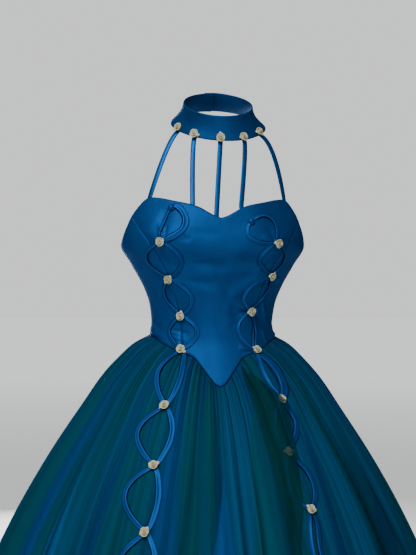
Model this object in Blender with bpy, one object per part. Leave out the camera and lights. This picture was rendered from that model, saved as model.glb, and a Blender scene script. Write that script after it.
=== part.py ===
# Halter ball gown: satin collar, five straps and a boned bodice over a gathered tulle skirt,
# with a satin underskirt and two ribbon lattices tied down with rosebuds.
# Metres, +Z up, the front faces -Y. The origin is the middle of the collar, where the neck holds it.

import math
import random
from collections import namedtuple

import bmesh
import bpy
from mathutils import Matrix, Vector
from mathutils.bvhtree import BVHTree

# Every distance called drop is measured down from the middle of the collar. Angles are degrees
# round from the centre front, and positive ones lie on the gown's own left.

# Walls and gaps
SEAM_GAP = 0.0003          # between pieces that are sewn together
WAIST_GAP = 0.0007         # the same at the slanting waist seam, measured upright
BODICE_WALL = 0.0026       # boned satin, several layers
TULLE_WALL = 0.0014        # the layers of net together
SATIN_WALL = 0.0012
SATIN_CLEAR = 0.0008       # between the underskirt and the deepest gather of the net
RIBBON_WALL = 0.0012
COLLAR_WALL = 0.0022
STRAP_WALL = 0.0020

# Torso: level sections of the bodice, down to the skirt's point
Section = namedtuple("Section", "drop half_width front back")
TORSO = [
    Section(0.140, 0.143, 0.092, 0.084),
    Section(0.170, 0.155, 0.103, 0.089),
    Section(0.200, 0.166, 0.113, 0.095),
    Section(0.243, 0.1735, 0.119, 0.100),
    Section(0.280, 0.1535, 0.108, 0.096),
    Section(0.318, 0.132, 0.096, 0.088),
    Section(0.355, 0.118, 0.088, 0.082),
    Section(0.388, 0.114, 0.085, 0.080),
    Section(0.412, 0.118, 0.087, 0.084),
    Section(0.450, 0.132, 0.099, 0.098),
    Section(0.500, 0.153, 0.120, 0.116),
]
TORSO_SETBACK = 0.012      # the torso's axis lies behind the neck's
WAIST_DROP = 0.412         # down to the waist seam at the sides
WAIST_HALF_WIDTH = 0.118   # of the section there
CUP_HEIGHT = 0.010         # how far each cup rounds out of its section
CUP_ANGLE = 33
CUP_SPREAD = 20            # degrees
CUP_DROP = 0.232
CUP_REACH = 0.036          # up and down

# Edges and seams of the bodice
Edge = namedtuple("Edge", "angle drop")
NECKLINE = [
    Edge(0, 0.197), Edge(4, 0.193), Edge(8, 0.187), Edge(14, 0.178), Edge(21, 0.172), Edge(33, 0.166),
    Edge(44, 0.161), Edge(54, 0.159), Edge(60, 0.162), Edge(66, 0.173), Edge(72.5, 0.193), Edge(78, 0.215),
    Edge(84, 0.236), Edge(91, 0.246), Edge(105, 0.249), Edge(180, 0.250),
]
WAIST_SEAM = [
    Edge(0, 0.500), Edge(3, 0.496), Edge(7, 0.485), Edge(11, 0.474), Edge(16, 0.463), Edge(22, 0.452),
    Edge(30, 0.443), Edge(42, 0.433), Edge(60, 0.422), Edge(78, 0.415), Edge(92, 0.412), Edge(180, 0.412),
]
ABOVE_BODICE = 0.130       # drops that lie above and below every edge of the bodice
BELOW_BODICE = 0.520
SeamPoint = namedtuple("SeamPoint", "drop angle")
FRONT_PRINCESS = [
    SeamPoint(0.150, 72), SeamPoint(0.192, 71.5), SeamPoint(0.205, 63), SeamPoint(0.220, 54.5),
    SeamPoint(0.238, 47), SeamPoint(0.260, 43), SeamPoint(0.300, 41), SeamPoint(0.345, 39.5),
    SeamPoint(0.390, 36.5), SeamPoint(0.443, 30),
]
BACK_PRINCESS = [
    SeamPoint(0.240, 148), SeamPoint(0.300, 150), SeamPoint(0.360, 153), SeamPoint(0.412, 155),
]
SIDE_SEAM = 95.0
BODICE_ROWS = 11
CENTRE_FRONT_COLUMNS = 16
SIDE_FRONT_COLUMNS = 7
SIDE_BACK_COLUMNS = 5
BACK_COLUMNS = 4

# Skirts: how far they stand out from the waist seam, for the height below that seam
HEM_DROP = 1.430
SATIN_HEM_DROP = 1.424
Flare = namedtuple("Flare", "below out")
BELL = [
    Flare(0.000, 0.000), Flare(0.016, 0.026), Flare(0.036, 0.047), Flare(0.073, 0.080),
    Flare(0.129, 0.117), Flare(0.2225, 0.176), Flare(0.316, 0.227), Flare(0.391, 0.262),
    Flare(0.560, 0.329), Flare(0.760, 0.399), Flare(1.020, 0.480),
]
BELL_BACK = 1.05           # the back of the skirt is a little fuller
MOST_SLOPE = 1.8           # of the bell, where a wall's thickness is turned level
SKIRT_ROWS = [0.0, 0.012, 0.032, 0.062, 0.105, 0.170, 0.265, 0.400, 0.580, 0.790, 1.018]

# Gathers: from nothing in the seam to soft flutes at the hem
Gather = namedtuple("Gather", "below height")
GATHERS = [
    Gather(0.000, 0.0000), Gather(0.012, 0.0013), Gather(0.040, 0.0028), Gather(0.120, 0.0048),
    Gather(0.265, 0.0075), Gather(0.500, 0.0110), Gather(1.020, 0.0160),
]
SHALLOWEST_GATHER = 0.6    # shares of those heights
DEEPEST_GATHER = 1.25
END_GATHER = 0.8           # beside the side seams
FOLD_DRIFT = 0.35          # how far a fold wanders down the skirt, as a share of its width
FOLDS_AT_POINT = 8         # folds of the overskirt between the front princess seams
FOLDS_BESIDE = 5           # on from there to each side seam
FOLDS_BEHIND = 16
POINT_SPAN = 30.0          # degrees from the centre front to those seams, at the waist
COLUMNS_PER_FOLD = 4
CALM_SHARE = 0.95          # how far a lattice flattens the gathers under it
CALM_WIDTH = 0.062
SATIN_GORES = 6
FRONT_GORE_COLUMNS = 16    # the same as the bodice's point above it
GORE_COLUMNS = 8
SATIN_FLUTE = 0.010        # depth of the two soft flutes in each gore, at the hem

# Collar: a tilted band, close at the top and standing away below
COLLAR_TILT = math.radians(27)
COLLAR_TURN = Matrix.Rotation(COLLAR_TILT, 3, "X")
COLLAR_MIDDLE = Vector((0.005, 0, 0))
COLLAR_HALF_HEIGHT = 0.021
COLLAR_TOP_RADIUS = 0.0655
CollarEdge = namedtuple("CollarEdge", "angle radius")
COLLAR_BOTTOM = [CollarEdge(0, 0.081), CollarEdge(50, 0.085), CollarEdge(90, 0.0905), CollarEdge(180, 0.084)]
COLLAR_LEAN = 0.0035       # the lower edge stands away further on the wearer's left
COLLAR_FLARE = 1.3         # how late the band begins to stand away
COLLAR_LAP = 0.018
COLLAR_ROWS = 3
COLLAR_COLUMNS = 36
BUTTON_RADIUS = 0.0065
BUTTON_HEIGHT = 0.0050
BUTTON_SIDES = 12
BUTTON_CLEAR = 0.0009
BUTTON_PROFILE = [
    (BUTTON_RADIUS, 0.0), (BUTTON_RADIUS, BUTTON_HEIGHT * 0.4), (BUTTON_RADIUS * 0.75, BUTTON_HEIGHT * 0.8),
    (BUTTON_RADIUS * 0.3, BUTTON_HEIGHT),
]

# Straps: where each leaves the collar, where it is sewn inside the bodice, and how far it bows out
Strap = namedtuple("Strap", "name collar_angle bodice_angle belly")
STRAPS = [
    Strap("strap_outer_right", -69, -57.5, 0.0056),
    Strap("strap_inner_right", -38, -19.2, 0.002),
    Strap("strap_centre", -1.6, -3.0, 0.0),
    Strap("strap_inner_left", 32, 14.2, 0.002),
    Strap("strap_outer_left", 65, 60, 0.0105),
]
STRAP_WIDTH = 0.0084
STRAP_BOW_AT = 0.315       # how far down it bows out most, as a share of its length
STRAP_FACING = 0.9         # how far the outer straps turn to the front between their ends
STRAP_HOLD = 0.012         # how much of a strap is sewn in at each end
STRAP_PAST_EDGE = 0.0028   # how far it runs straight past the edge it is sewn inside
STRAP_CLEAR = 0.0004
STRAP_STEPS = 8

# Each ribbon lattice, from the top loop down. A rose sits on every crossing; inner and outer are
# where the two strands swing to half way down the loop above it, measured along the cloth.
Loop = namedtuple("Loop", "angle drop inner outer")
LATTICE_RIGHT = [
    Loop(-43.9, 0.171, 0, 0), Loop(-45.2, 0.240, 0.035, 0.012), Loop(-49.1, 0.307, 0.029, 0.038),
    Loop(-42.5, 0.374, 0.028, 0.023), Loop(-39.6, 0.435, 0.027, 0.026), Loop(-31.7, 0.528, 0.018, 0.023),
    Loop(-29.6, 0.622, 0.019, 0.042), Loop(-27.3, 0.722, 0.013, 0.047), Loop(-26.3, 0.835, 0.022, 0.042),
    Loop(-25.3, 0.950, 0.026, 0.040), Loop(-24.5, 1.070, 0.030, 0.036), Loop(-24.0, 1.195, 0.034, 0.034),
    Loop(-23.5, 1.325, 0.036, 0.036),
]
LATTICE_LEFT = [
    Loop(25.8, 0.204, 0, 0), Loop(43.3, 0.240, 0, 0), Loop(52.6, 0.299, 0.032, 0.026),
    Loop(38.3, 0.365, 0.031, 0.018), Loop(41.2, 0.438, 0.026, 0.012), Loop(32.1, 0.520, 0.012, 0.020),
    Loop(25.4, 0.603, 0.020, 0.025), Loop(26.7, 0.692, 0.016, 0.026), Loop(26.0, 0.800, 0.008, 0.004),
    Loop(25.0, 0.915, 0.028, 0.032), Loop(24.0, 1.035, 0.030, 0.034), Loop(23.0, 1.160, 0.032, 0.036),
    Loop(22.0, 1.290, 0.036, 0.036),
]
# The left lattice's top loop hangs from a knot at its inner side; its strands are placed by hand.
KnotPoint = namedtuple("KnotPoint", "angle drop")
KNOT_OUTER = [
    KnotPoint(25.8, 0.204), KnotPoint(31.3, 0.194), KnotPoint(37.8, 0.190), KnotPoint(43.3, 0.194),
    KnotPoint(45.9, 0.204), KnotPoint(45.2, 0.219), KnotPoint(43.3, 0.240),
]
KNOT_INNER = [
    KnotPoint(25.8, 0.204), KnotPoint(21.1, 0.219), KnotPoint(24.5, 0.235), KnotPoint(35.5, 0.242),
    KnotPoint(43.3, 0.240),
]
LOOP_STEPS = 8             # stations along each loop
SWING_POWER = 0.85         # roundness of a loop, and how much wider it is above its middle
SWING_SAG = 0.25
RIBBON_ON_BODICE = 0.0082  # widths
RIBBON_ON_SKIRT = 0.0098
RIBBON_LIFT = 0.0006       # clears the flat faces of the cloth below
CROSSING_CLEAR = 0.0009    # between two strands where they cross
CROSSING_NEAR = 1.3        # widths between the strands' middle lines where one begins to rise
CROSSING_FAR = 2.0
TAIL_LENGTH = 0.045
TAIL_SPREAD = 2.0          # degrees
NECK_MARGIN = 0.005        # trimming keeps this far below the neckline
NORMAL_STEP = 0.006        # how far about a point the cloth's lie is felt

# Rosebuds
ROSE_RADIUS = 0.0072
ROSE_HEIGHT = 0.0085
ROSE_SIDES = 8
ROSE_PETALS = 0.09         # how uneven the rim is
ROSE_CLEAR = 0.0004
ROSE_PROFILE = [
    (ROSE_RADIUS * 0.75, 0.0), (ROSE_RADIUS, ROSE_HEIGHT * 0.35), (ROSE_RADIUS * 0.8, ROSE_HEIGHT * 0.75),
    (ROSE_RADIUS * 0.35, ROSE_HEIGHT),
]
COLLAR_ROSE_ANGLES = [-68, -38, -2, 29.5, 60]
COLLAR_ROSE_CLEAR = 0.0008

# A piece is moved clear of its neighbours in small steps.
CLEAR_STEP = 0.0003
CLEAR_TRIES = 40


def smooth_table(rows, key, value, x):
    """Reads value at key = x on a smooth curve through the table's rows."""
    keys = [getattr(row, key) for row in rows]
    values = [getattr(row, value) for row in rows]
    if x <= keys[0]:
        return values[0]
    if x >= keys[-1]:
        return values[-1]
    i = max(k for k in range(len(keys) - 1) if keys[k] <= x)
    span = keys[i + 1] - keys[i]
    slope = (values[i + 1] - values[i]) / span
    before = (values[i] - values[i - 1]) / (keys[i] - keys[i - 1]) if i > 0 else slope
    after = (values[i + 2] - values[i + 1]) / (keys[i + 2] - keys[i + 1]) if i + 2 < len(keys) else slope
    start = limited_slope(before, slope)
    end = limited_slope(slope, after)
    t = (x - keys[i]) / span
    return (
        (2 * t**3 - 3 * t**2 + 1) * values[i]
        + (t**3 - 2 * t**2 + t) * span * start
        + (3 * t**2 - 2 * t**3) * values[i + 1]
        + (t**3 - t**2) * span * end
    )


def limited_slope(left, right):
    """A slope between two neighbours that never makes the curve overshoot."""
    if left * right <= 0:
        return 0.0
    return 2 * left * right / (left + right)


def seam_drop(angle):
    return smooth_table(WAIST_SEAM, "angle", "drop", min(abs(angle), 360 - abs(angle)))


def neck_drop(angle):
    return smooth_table(NECKLINE, "angle", "drop", min(abs(angle), 360 - abs(angle)))


def torso_point(angle, drop, out=0.0):
    """A point on the bodice's outer face, or out metres away from it, square to its level section."""
    a = math.radians(angle)
    half_width = smooth_table(TORSO, "drop", "half_width", drop)
    depth = smooth_table(TORSO, "drop", "front" if math.cos(a) >= 0 else "back", drop)
    square = Vector((depth * math.sin(a), -half_width * math.cos(a), 0)).normalized()
    cup = CUP_HEIGHT * math.exp(
        -(((abs(angle) - CUP_ANGLE) / CUP_SPREAD) ** 2) - ((drop - CUP_DROP) / CUP_REACH) ** 2
    )
    place = Vector((half_width * math.sin(a), TORSO_SETBACK - depth * math.cos(a), -drop))
    return place + square * (cup + out)


def bearing(place):
    """Degrees round of a place, as seen from the torso's axis."""
    return math.degrees(math.atan2(place.x, TORSO_SETBACK - place.y))


def section_angle(angle, drop):
    """Turns such a bearing into the angle that the torso's oval section is drawn by."""
    a = math.radians(angle)
    half_width = smooth_table(TORSO, "drop", "half_width", drop)
    depth = smooth_table(TORSO, "drop", "front" if math.cos(a) >= 0 else "back", drop)
    return math.degrees(math.atan2(depth * math.sin(a), half_width * math.cos(a)))


def skirt_point(angle, below, out=0.0):
    """A point on the skirt's mean face, for a height below the waist seam at that angle."""
    a = math.radians(angle)
    fullness = 1 + (BELL_BACK - 1) * (1 - math.cos(a)) / 2
    flare = smooth_table(BELL, "below", "out", below) * fullness
    away = Vector((math.sin(a), -math.cos(a), 0))
    place = torso_point(angle, seam_drop(angle)) + away * (flare + out)
    place.z -= below
    return place


def level_thickness(wall, below):
    """A wall's thickness measured level, where the bell slopes."""
    step = 0.004
    low = smooth_table(BELL, "below", "out", below + step)
    high = smooth_table(BELL, "below", "out", max(0.0, below - step))
    slope = (low - high) / (below + step - max(0.0, below - step))
    return wall * math.sqrt(1 + min(slope, MOST_SLOPE) ** 2)


def make_object(name, vertices, faces, material, parent=None):
    mesh = bpy.data.meshes.new(name)
    mesh.from_pydata([tuple(v) for v in vertices], [], faces)
    work = bmesh.new()
    work.from_mesh(mesh)
    bmesh.ops.recalc_face_normals(work, faces=work.faces)
    if work.calc_volume(signed=True) < 0:
        bmesh.ops.reverse_faces(work, faces=work.faces)
    work.to_mesh(mesh)
    work.free()
    mesh.materials.append(material)
    mesh.shade_smooth()
    mesh.set_sharp_from_angle(angle=math.radians(50))
    piece = bpy.data.objects.new(name, mesh)
    bpy.context.collection.objects.link(piece)
    piece.parent = parent
    return piece


def wall_object(name, outer, inner, material, parent, closed=False):
    """A cloth wall between two grids of points, rows from the bottom up, columns from -X to +X."""
    rows = len(outer)
    columns = len(outer[0])
    vertices = [p for row in outer for p in row] + [p for row in inner for p in row]
    shift = rows * columns

    def at(row, column):
        return row * columns + column % columns

    faces = []
    for r in range(rows - 1):
        for c in range(columns if closed else columns - 1):
            corners = (at(r, c), at(r, c + 1), at(r + 1, c + 1), at(r + 1, c))
            faces.append(corners)
            faces.append(tuple(corner + shift for corner in reversed(corners)))
    for c in range(columns if closed else columns - 1):
        faces.append((at(0, c), at(0, c) + shift, at(0, c + 1) + shift, at(0, c + 1)))
        top = rows - 1
        faces.append((at(top, c), at(top, c + 1), at(top, c + 1) + shift, at(top, c) + shift))
    if not closed:
        for r in range(rows - 1):
            last = columns - 1
            faces.append((at(r, 0), at(r + 1, 0), at(r + 1, 0) + shift, at(r, 0) + shift))
            faces.append((at(r, last), at(r, last) + shift, at(r + 1, last) + shift, at(r + 1, last)))
    return make_object(name, vertices, faces, material, parent)


def meeting_drop(angle_at, edge):
    """Where a line down the bodice, angle_at(drop), meets an edge such as the neckline."""
    low, high = ABOVE_BODICE, BELOW_BODICE
    for _ in range(40):
        middle = (low + high) / 2
        if middle < edge(angle_at(middle)):
            low = middle
        else:
            high = middle
    return (low + high) / 2


def front_princess(drop):
    return smooth_table(FRONT_PRINCESS, "drop", "angle", drop)


def back_princess(drop):
    return smooth_table(BACK_PRINCESS, "drop", "angle", drop)


def bodice_panel(name, left, right, columns, rows, material, parent):
    """One bodice panel between two seams, each given as degrees round for a drop."""

    def inset(drop):
        radius = smooth_table(TORSO, "drop", "half_width", drop)
        return math.degrees(SEAM_GAP / 2 / radius)

    outer, inner = [], []
    lines = []
    for c in range(columns + 1):
        share = c / columns

        def angle_at(drop, share=share):
            start = left(drop) + inset(drop)
            end = right(drop) - inset(drop)
            return start + (end - start) * share

        low = meeting_drop(angle_at, seam_drop) - WAIST_GAP
        high = meeting_drop(angle_at, neck_drop)
        lines.append((angle_at, low, high))
    for r in range(rows + 1):
        share = r / rows
        outer_row, inner_row = [], []
        for angle_at, low, high in lines:
            drop = low + (high - low) * share
            outer_row.append(torso_point(angle_at(drop), drop))
            inner_row.append(torso_point(angle_at(drop), drop, -BODICE_WALL))
        outer.append(outer_row)
        inner.append(inner_row)
    return wall_object(name, outer, inner, material, parent)


def make_bodice(satin, parent):
    def mirrored(seam):
        return lambda drop: -seam(drop)

    def side(drop):
        return SIDE_SEAM

    def centre_back(drop):
        return 180.0

    front_edges = (mirrored(front_princess), front_princess)
    columns = CENTRE_FRONT_COLUMNS
    panels = [bodice_panel("bodice_centre_front", *front_edges, columns, BODICE_ROWS, satin, parent)]
    for hand, left_to_right in (("left", 1), ("right", -1)):
        for name, near, far, columns in (
            ("side_front", front_princess, side, SIDE_FRONT_COLUMNS),
            ("side_back", side, back_princess, SIDE_BACK_COLUMNS),
            ("back", back_princess, centre_back, BACK_COLUMNS),
        ):
            if left_to_right > 0:
                edges = (near, far)
            else:
                edges = (mirrored(far), mirrored(near))
            panels.append(bodice_panel(f"bodice_{name}_{hand}", *edges, columns, BODICE_ROWS, satin, parent))
    return panels


def lattice_angle(loops, drop):
    """Degrees round of a lattice's middle line at a drop."""
    rows = sorted(loops, key=lambda loop: loop.drop)
    if drop <= rows[0].drop:
        return rows[0].angle
    for above, under in zip(rows, rows[1:]):
        if drop <= under.drop:
            share = (drop - above.drop) / (under.drop - above.drop)
            return above.angle + (under.angle - above.angle) * share
    return rows[-1].angle


def calm(angle, drop, radius):
    """How much of a gather's height is left near the lattices, which hold the net flat."""
    rest = 1.0
    for loops in (LATTICE_RIGHT, LATTICE_LEFT):
        away = math.radians(angle - lattice_angle(loops, drop)) * radius
        rest = min(rest, 1 - CALM_SHARE * math.exp(-((away / CALM_WIDTH) ** 4)))
    return rest


def tulle_half(name, zones, seed, material, parent):
    """Half of the gathered overskirt. Its folds are even in the waist seam and wander down the skirt.

    Each zone is (start, end, folds): degrees round in the seam, and how many folds lie between.
    """
    dice = random.Random(seed)
    edge = math.degrees(SEAM_GAP / 2 / WAIST_HALF_WIDTH)
    first = zones[0][0] + edge
    last = zones[-1][1] - edge
    columns = []
    for start, end, folds in zones:
        for fold in range(folds):
            height = dice.uniform(SHALLOWEST_GATHER, DEEPEST_GATHER)
            drift = dice.uniform(-FOLD_DRIFT, FOLD_DRIFT)
            for step in range(COLUMNS_PER_FOLD):
                share = step / COLUMNS_PER_FOLD
                turn = start + (end - start) * (fold + share) / folds
                columns.append((turn, drift * (end - start) / folds, height * math.cos(2 * math.pi * share)))
    columns.append((last, 0.0, END_GATHER))
    columns[0] = (first, 0.0, END_GATHER)
    outer, inner = [], []
    for full_below in reversed(SKIRT_ROWS):
        outer_row, inner_row = [], []
        for seam_turn, drift, wave in columns:
            part_down = full_below / SKIRT_ROWS[-1]
            turn = seam_turn + drift * min(1.0, 3 * part_down)
            below = part_down * (HEM_DROP - seam_drop(turn))
            place = skirt_point(turn, below)
            radius = math.hypot(place.x, place.y)
            height = smooth_table(GATHERS, "below", "height", below)
            out = height * wave * calm(bearing(place), -place.z, radius)
            outer_row.append(skirt_point(turn, below, out))
            inner_row.append(skirt_point(turn, below, out - level_thickness(TULLE_WALL, below)))
        outer.append(outer_row)
        inner.append(inner_row)
    return wall_object(name, outer, inner, material, parent)


def satin_gore(name, start, end, columns, material, parent):
    """One gore of the underskirt, inside the net and clear of its gathers."""
    edge = math.degrees(SEAM_GAP / 2 / WAIST_HALF_WIDTH)
    outer, inner = [], []
    for full_below in reversed(SKIRT_ROWS):
        outer_row, inner_row = [], []
        for c in range(columns + 1):
            share = c / columns
            turn = start + (end - start) * share
            turn = min(max(turn, start + edge), end - edge)
            part_down = full_below / SKIRT_ROWS[-1]
            below = part_down * (SATIN_HEM_DROP - seam_drop(turn))
            clear = level_thickness(TULLE_WALL, below) + SATIN_CLEAR
            gathers = smooth_table(GATHERS, "below", "height", below) * DEEPEST_GATHER
            flute = SATIN_FLUTE * part_down * (math.cos(4 * math.pi * share) - 1) / 2
            out = flute - clear - gathers
            outer_row.append(skirt_point(turn, below, out))
            inner_row.append(skirt_point(turn, below, out - level_thickness(SATIN_WALL, below)))
        outer.append(outer_row)
        inner.append(inner_row)
    return wall_object(name, outer, inner, material, parent)


def make_skirts(tulle, satin, parent):
    front = [
        (-90.0, -POINT_SPAN, FOLDS_BESIDE),
        (-POINT_SPAN, POINT_SPAN, FOLDS_AT_POINT),
        (POINT_SPAN, 90.0, FOLDS_BESIDE),
    ]
    halves = [
        tulle_half("tulle_skirt_front", front, 11, tulle, parent),
        tulle_half("tulle_skirt_back", [(90.0, 270.0, FOLDS_BEHIND)], 23, tulle, parent),
    ]
    width = 360.0 / SATIN_GORES
    for gore in range(SATIN_GORES):
        columns = FRONT_GORE_COLUMNS if gore == 0 else GORE_COLUMNS
        middle = width * gore
        edges = (middle - width / 2, middle + width / 2)
        satin_gore(f"underskirt_gore_{gore + 1}", *edges, columns, satin, parent)
    return halves


def collar_radius(angle, height):
    """The collar's outer radius, height up from its middle."""
    bottom = smooth_table(COLLAR_BOTTOM, "angle", "radius", min(abs(angle), 360 - abs(angle)))
    share = (height + COLLAR_HALF_HEIGHT) / (2 * COLLAR_HALF_HEIGHT)
    flare = (1 - share) ** COLLAR_FLARE
    lean = COLLAR_LEAN * math.sin(math.radians(angle))
    return COLLAR_TOP_RADIUS + (bottom + lean - COLLAR_TOP_RADIUS) * flare


def collar_point(angle, height, out=0.0):
    a = math.radians(angle)
    radius = collar_radius(angle, height) + out
    return COLLAR_MIDDLE + COLLAR_TURN @ Vector((radius * math.sin(a), -radius * math.cos(a), height))


def make_collar(satin, parent):
    """The collar meets at the centre back, where one end laps over the other under a button."""
    lap = math.degrees(COLLAR_LAP / COLLAR_TOP_RADIUS)
    outer, inner = [], []
    for r in range(COLLAR_ROWS + 1):
        height = -COLLAR_HALF_HEIGHT + 2 * COLLAR_HALF_HEIGHT * r / COLLAR_ROWS
        outer_row, inner_row = [], []
        for c in range(COLLAR_COLUMNS + 1):
            angle = -180 + (360 + lap) * c / COLLAR_COLUMNS
            past = max(0.0, min(1.0, (angle - (180 - 2 * lap)) / (2 * lap)))
            lift = (COLLAR_WALL + 3 * SEAM_GAP) * past * past * (3 - 2 * past)
            outer_row.append(collar_point(angle, height, lift))
            inner_row.append(collar_point(angle, height, lift - COLLAR_WALL))
        outer.append(outer_row)
        inner.append(inner_row)
    collar = wall_object("collar", outer, inner, satin, parent)
    lift = COLLAR_WALL + 3 * SEAM_GAP
    place = collar_point(180 + lap / 2, 0.0, lift + BUTTON_CLEAR)
    normal = outward(collar_point, 180 + lap / 2, 0.0)
    turned_object("collar_button", place, normal, BUTTON_PROFILE, BUTTON_SIDES, satin, parent)
    return collar


def outward(surface, angle, height):
    """The direction square to a surface, by short steps along it."""
    across = surface(angle + 2, height) - surface(angle - 2, height)
    along = surface(angle, height + 0.003) - surface(angle, height - 0.003)
    normal = across.cross(along).normalized()
    middle = surface(angle, height)
    if normal.dot(Vector((middle.x, middle.y, 0))) < 0:
        normal.negate()
    return normal


def turned_points(place, axis, profile, sides, petals):
    turn = axis.to_track_quat("Z", "Y").to_matrix()
    points = []
    for level, (radius, height) in enumerate(profile):
        for s in range(sides):
            a = 2 * math.pi * (s + 0.5 * (level % 2)) / sides
            reach = radius * (1 + petals * math.cos(math.pi * s))
            points.append(place + turn @ Vector((reach * math.cos(a), reach * math.sin(a), height)))
    return points


def turned_faces(levels, sides):
    faces = [tuple(reversed(range(sides)))]
    for level in range(levels - 1):
        for s in range(sides):
            a = level * sides + s
            b = level * sides + (s + 1) % sides
            faces.append((a, b, b + sides, a + sides))
    top = (levels - 1) * sides
    faces.append(tuple(range(top, top + sides)))
    return faces


def turned_object(name, place, axis, profile, sides, material, parent, petals=0.0):
    """A small round solid standing on place; profile rows are radius and height, from the base up."""
    points = turned_points(place, axis, profile, sides, petals)
    return make_object(name, points, turned_faces(len(profile), sides), material, parent)


def band_points(stations, width, wall):
    """The corners of a flat band through stations of (middle, side, normal); middle is on its inner face."""
    points = []
    for middle, side, normal in stations:
        for across, up in ((-1, 0), (1, 0), (1, 1), (-1, 1)):
            points.append(middle + side * (across * width / 2) + normal * (up * wall))
    return points


def band_faces(count):
    faces = [(3, 2, 1, 0)]
    for s in range(count - 1):
        for k in range(4):
            a = s * 4 + k
            b = s * 4 + (k + 1) % 4
            faces.append((a, b, b + 4, a + 4))
    last = (count - 1) * 4
    faces.append((last, last + 1, last + 2, last + 3))
    return faces


def strap_stations(strap, collar_clear, bodice_clear):
    """A strap's middle line: sewn inside the collar's lower edge and the neckline, and curved between."""
    inside = -(COLLAR_WALL + collar_clear + STRAP_WALL)
    top = collar_point(strap.collar_angle, -COLLAR_HALF_HEIGHT + STRAP_HOLD, inside)
    edge = collar_point(strap.collar_angle, -COLLAR_HALF_HEIGHT - STRAP_PAST_EDGE, inside)
    drop = neck_drop(strap.bodice_angle)
    inside = -(BODICE_WALL + bodice_clear + STRAP_WALL)
    neckline = torso_point(strap.bodice_angle, drop - STRAP_PAST_EDGE, inside)
    end = torso_point(strap.bodice_angle, drop + STRAP_HOLD, inside)
    middle = edge.lerp(neckline, STRAP_BOW_AT) + Vector((math.copysign(strap.belly, edge.x), 0, 0))
    control = middle * 2 - (edge + neckline) / 2
    points = [top, edge]
    for step in range(1, STRAP_STEPS):
        t = step / STRAP_STEPS
        points.append(edge * (1 - t) ** 2 + control * (2 * t * (1 - t)) + neckline * t**2)
    points += [neckline, end]
    start_normal = outward(collar_point, strap.collar_angle, -COLLAR_HALF_HEIGHT + STRAP_HOLD)
    end_normal = outward(torso_point, strap.bodice_angle, drop + STRAP_HOLD)
    stations = []
    for i, point in enumerate(points):
        after = points[min(i + 1, len(points) - 1)]
        before = points[max(i - 1, 0)]
        along = (after - before).normalized()
        share = i / (len(points) - 1)
        normal = start_normal.lerp(end_normal, share)
        normal.y -= STRAP_FACING * math.sin(math.pi * share)
        side = along.cross(normal).normalized()
        stations.append((point, side, side.cross(along).normalized()))
    return stations


def make_straps(collar, panels, satin, parent):
    """Each end moves in a little at a time until the strap is clear of what it is sewn to."""
    trees = (touching([collar]), touching(panels))
    for strap in STRAPS:
        clears = [STRAP_CLEAR, STRAP_CLEAR]
        for _ in range(CLEAR_TRIES):
            points = band_points(strap_stations(strap, *clears), STRAP_WIDTH, STRAP_WALL)
            faces = band_faces(len(points) // 4)
            own = touch_tree(points, faces)
            hits = [bool(own.overlap(tree)) for tree in trees]
            if not any(hits):
                break
            clears = [clear + CLEAR_STEP if hit else clear for clear, hit in zip(clears, hits)]
        make_object(strap.name, points, faces, satin, parent)


def gathered(pieces):
    """The vertices and faces of several pieces in one list each."""
    vertices, faces = [], []
    for piece in pieces:
        start = len(vertices)
        vertices += [v.co for v in piece.data.vertices]
        faces += [[start + i for i in face.vertices] for face in piece.data.polygons]
    return vertices, faces


def touching(pieces):
    return touch_tree(*gathered(pieces))


class Cloth:
    """Finds the outer face of the bodice and overskirt, so that trimming lies on it."""

    def __init__(self, panels):
        vertices, faces = gathered(panels)
        self.tree = BVHTree.FromPolygons(vertices, faces)
        self.touch = touch_tree(vertices, faces)

    def cast(self, angle, drop):
        a = math.radians(angle)
        away = Vector((math.sin(a), -math.cos(a), 0))
        axis = Vector((0, TORSO_SETBACK, -drop))
        hit = self.tree.ray_cast(axis + away * 2.0, -away)[0]
        return (hit - axis).length, away, axis

    def point(self, angle, drop):
        reach, away, axis = self.cast(angle, drop)
        if abs(drop - seam_drop(section_angle(angle, drop))) < 2 * WAIST_GAP:
            reach = max(self.cast(angle, drop - 2 * WAIST_GAP)[0], reach)
        return axis + away * reach

    def under(self, place):
        angle = bearing(place)
        lowest = neck_drop(section_angle(angle, -place.z)) + NECK_MARGIN
        return self.point(angle, max(-place.z, lowest))

    def normal(self, angle, drop):
        reach = self.cast(angle, drop)[0]
        turn = math.degrees(NORMAL_STEP / reach)
        across = self.point(angle + turn, drop) - self.point(angle - turn, drop)
        higher = max(drop - NORMAL_STEP, neck_drop(section_angle(angle, drop)) + NECK_MARGIN)
        down = self.point(angle, drop + NORMAL_STEP) - self.point(angle, higher)
        return down.cross(across).normalized()


def placed_by_hand(points, share):
    """The place a share of the way along a strand given by its points."""
    spans = [math.radians(b.angle - a.angle) * TORSO[2].half_width for a, b in zip(points, points[1:])]
    lengths = [math.hypot(span, b.drop - a.drop) for span, a, b in zip(spans, points, points[1:])]
    left = share * sum(lengths)
    for length, a, b in zip(lengths, points, points[1:]):
        if left <= length:
            part = left / length
            return a.angle + (b.angle - a.angle) * part, a.drop + (b.drop - a.drop) * part
        left -= length
    return points[-1].angle, points[-1].drop


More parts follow.
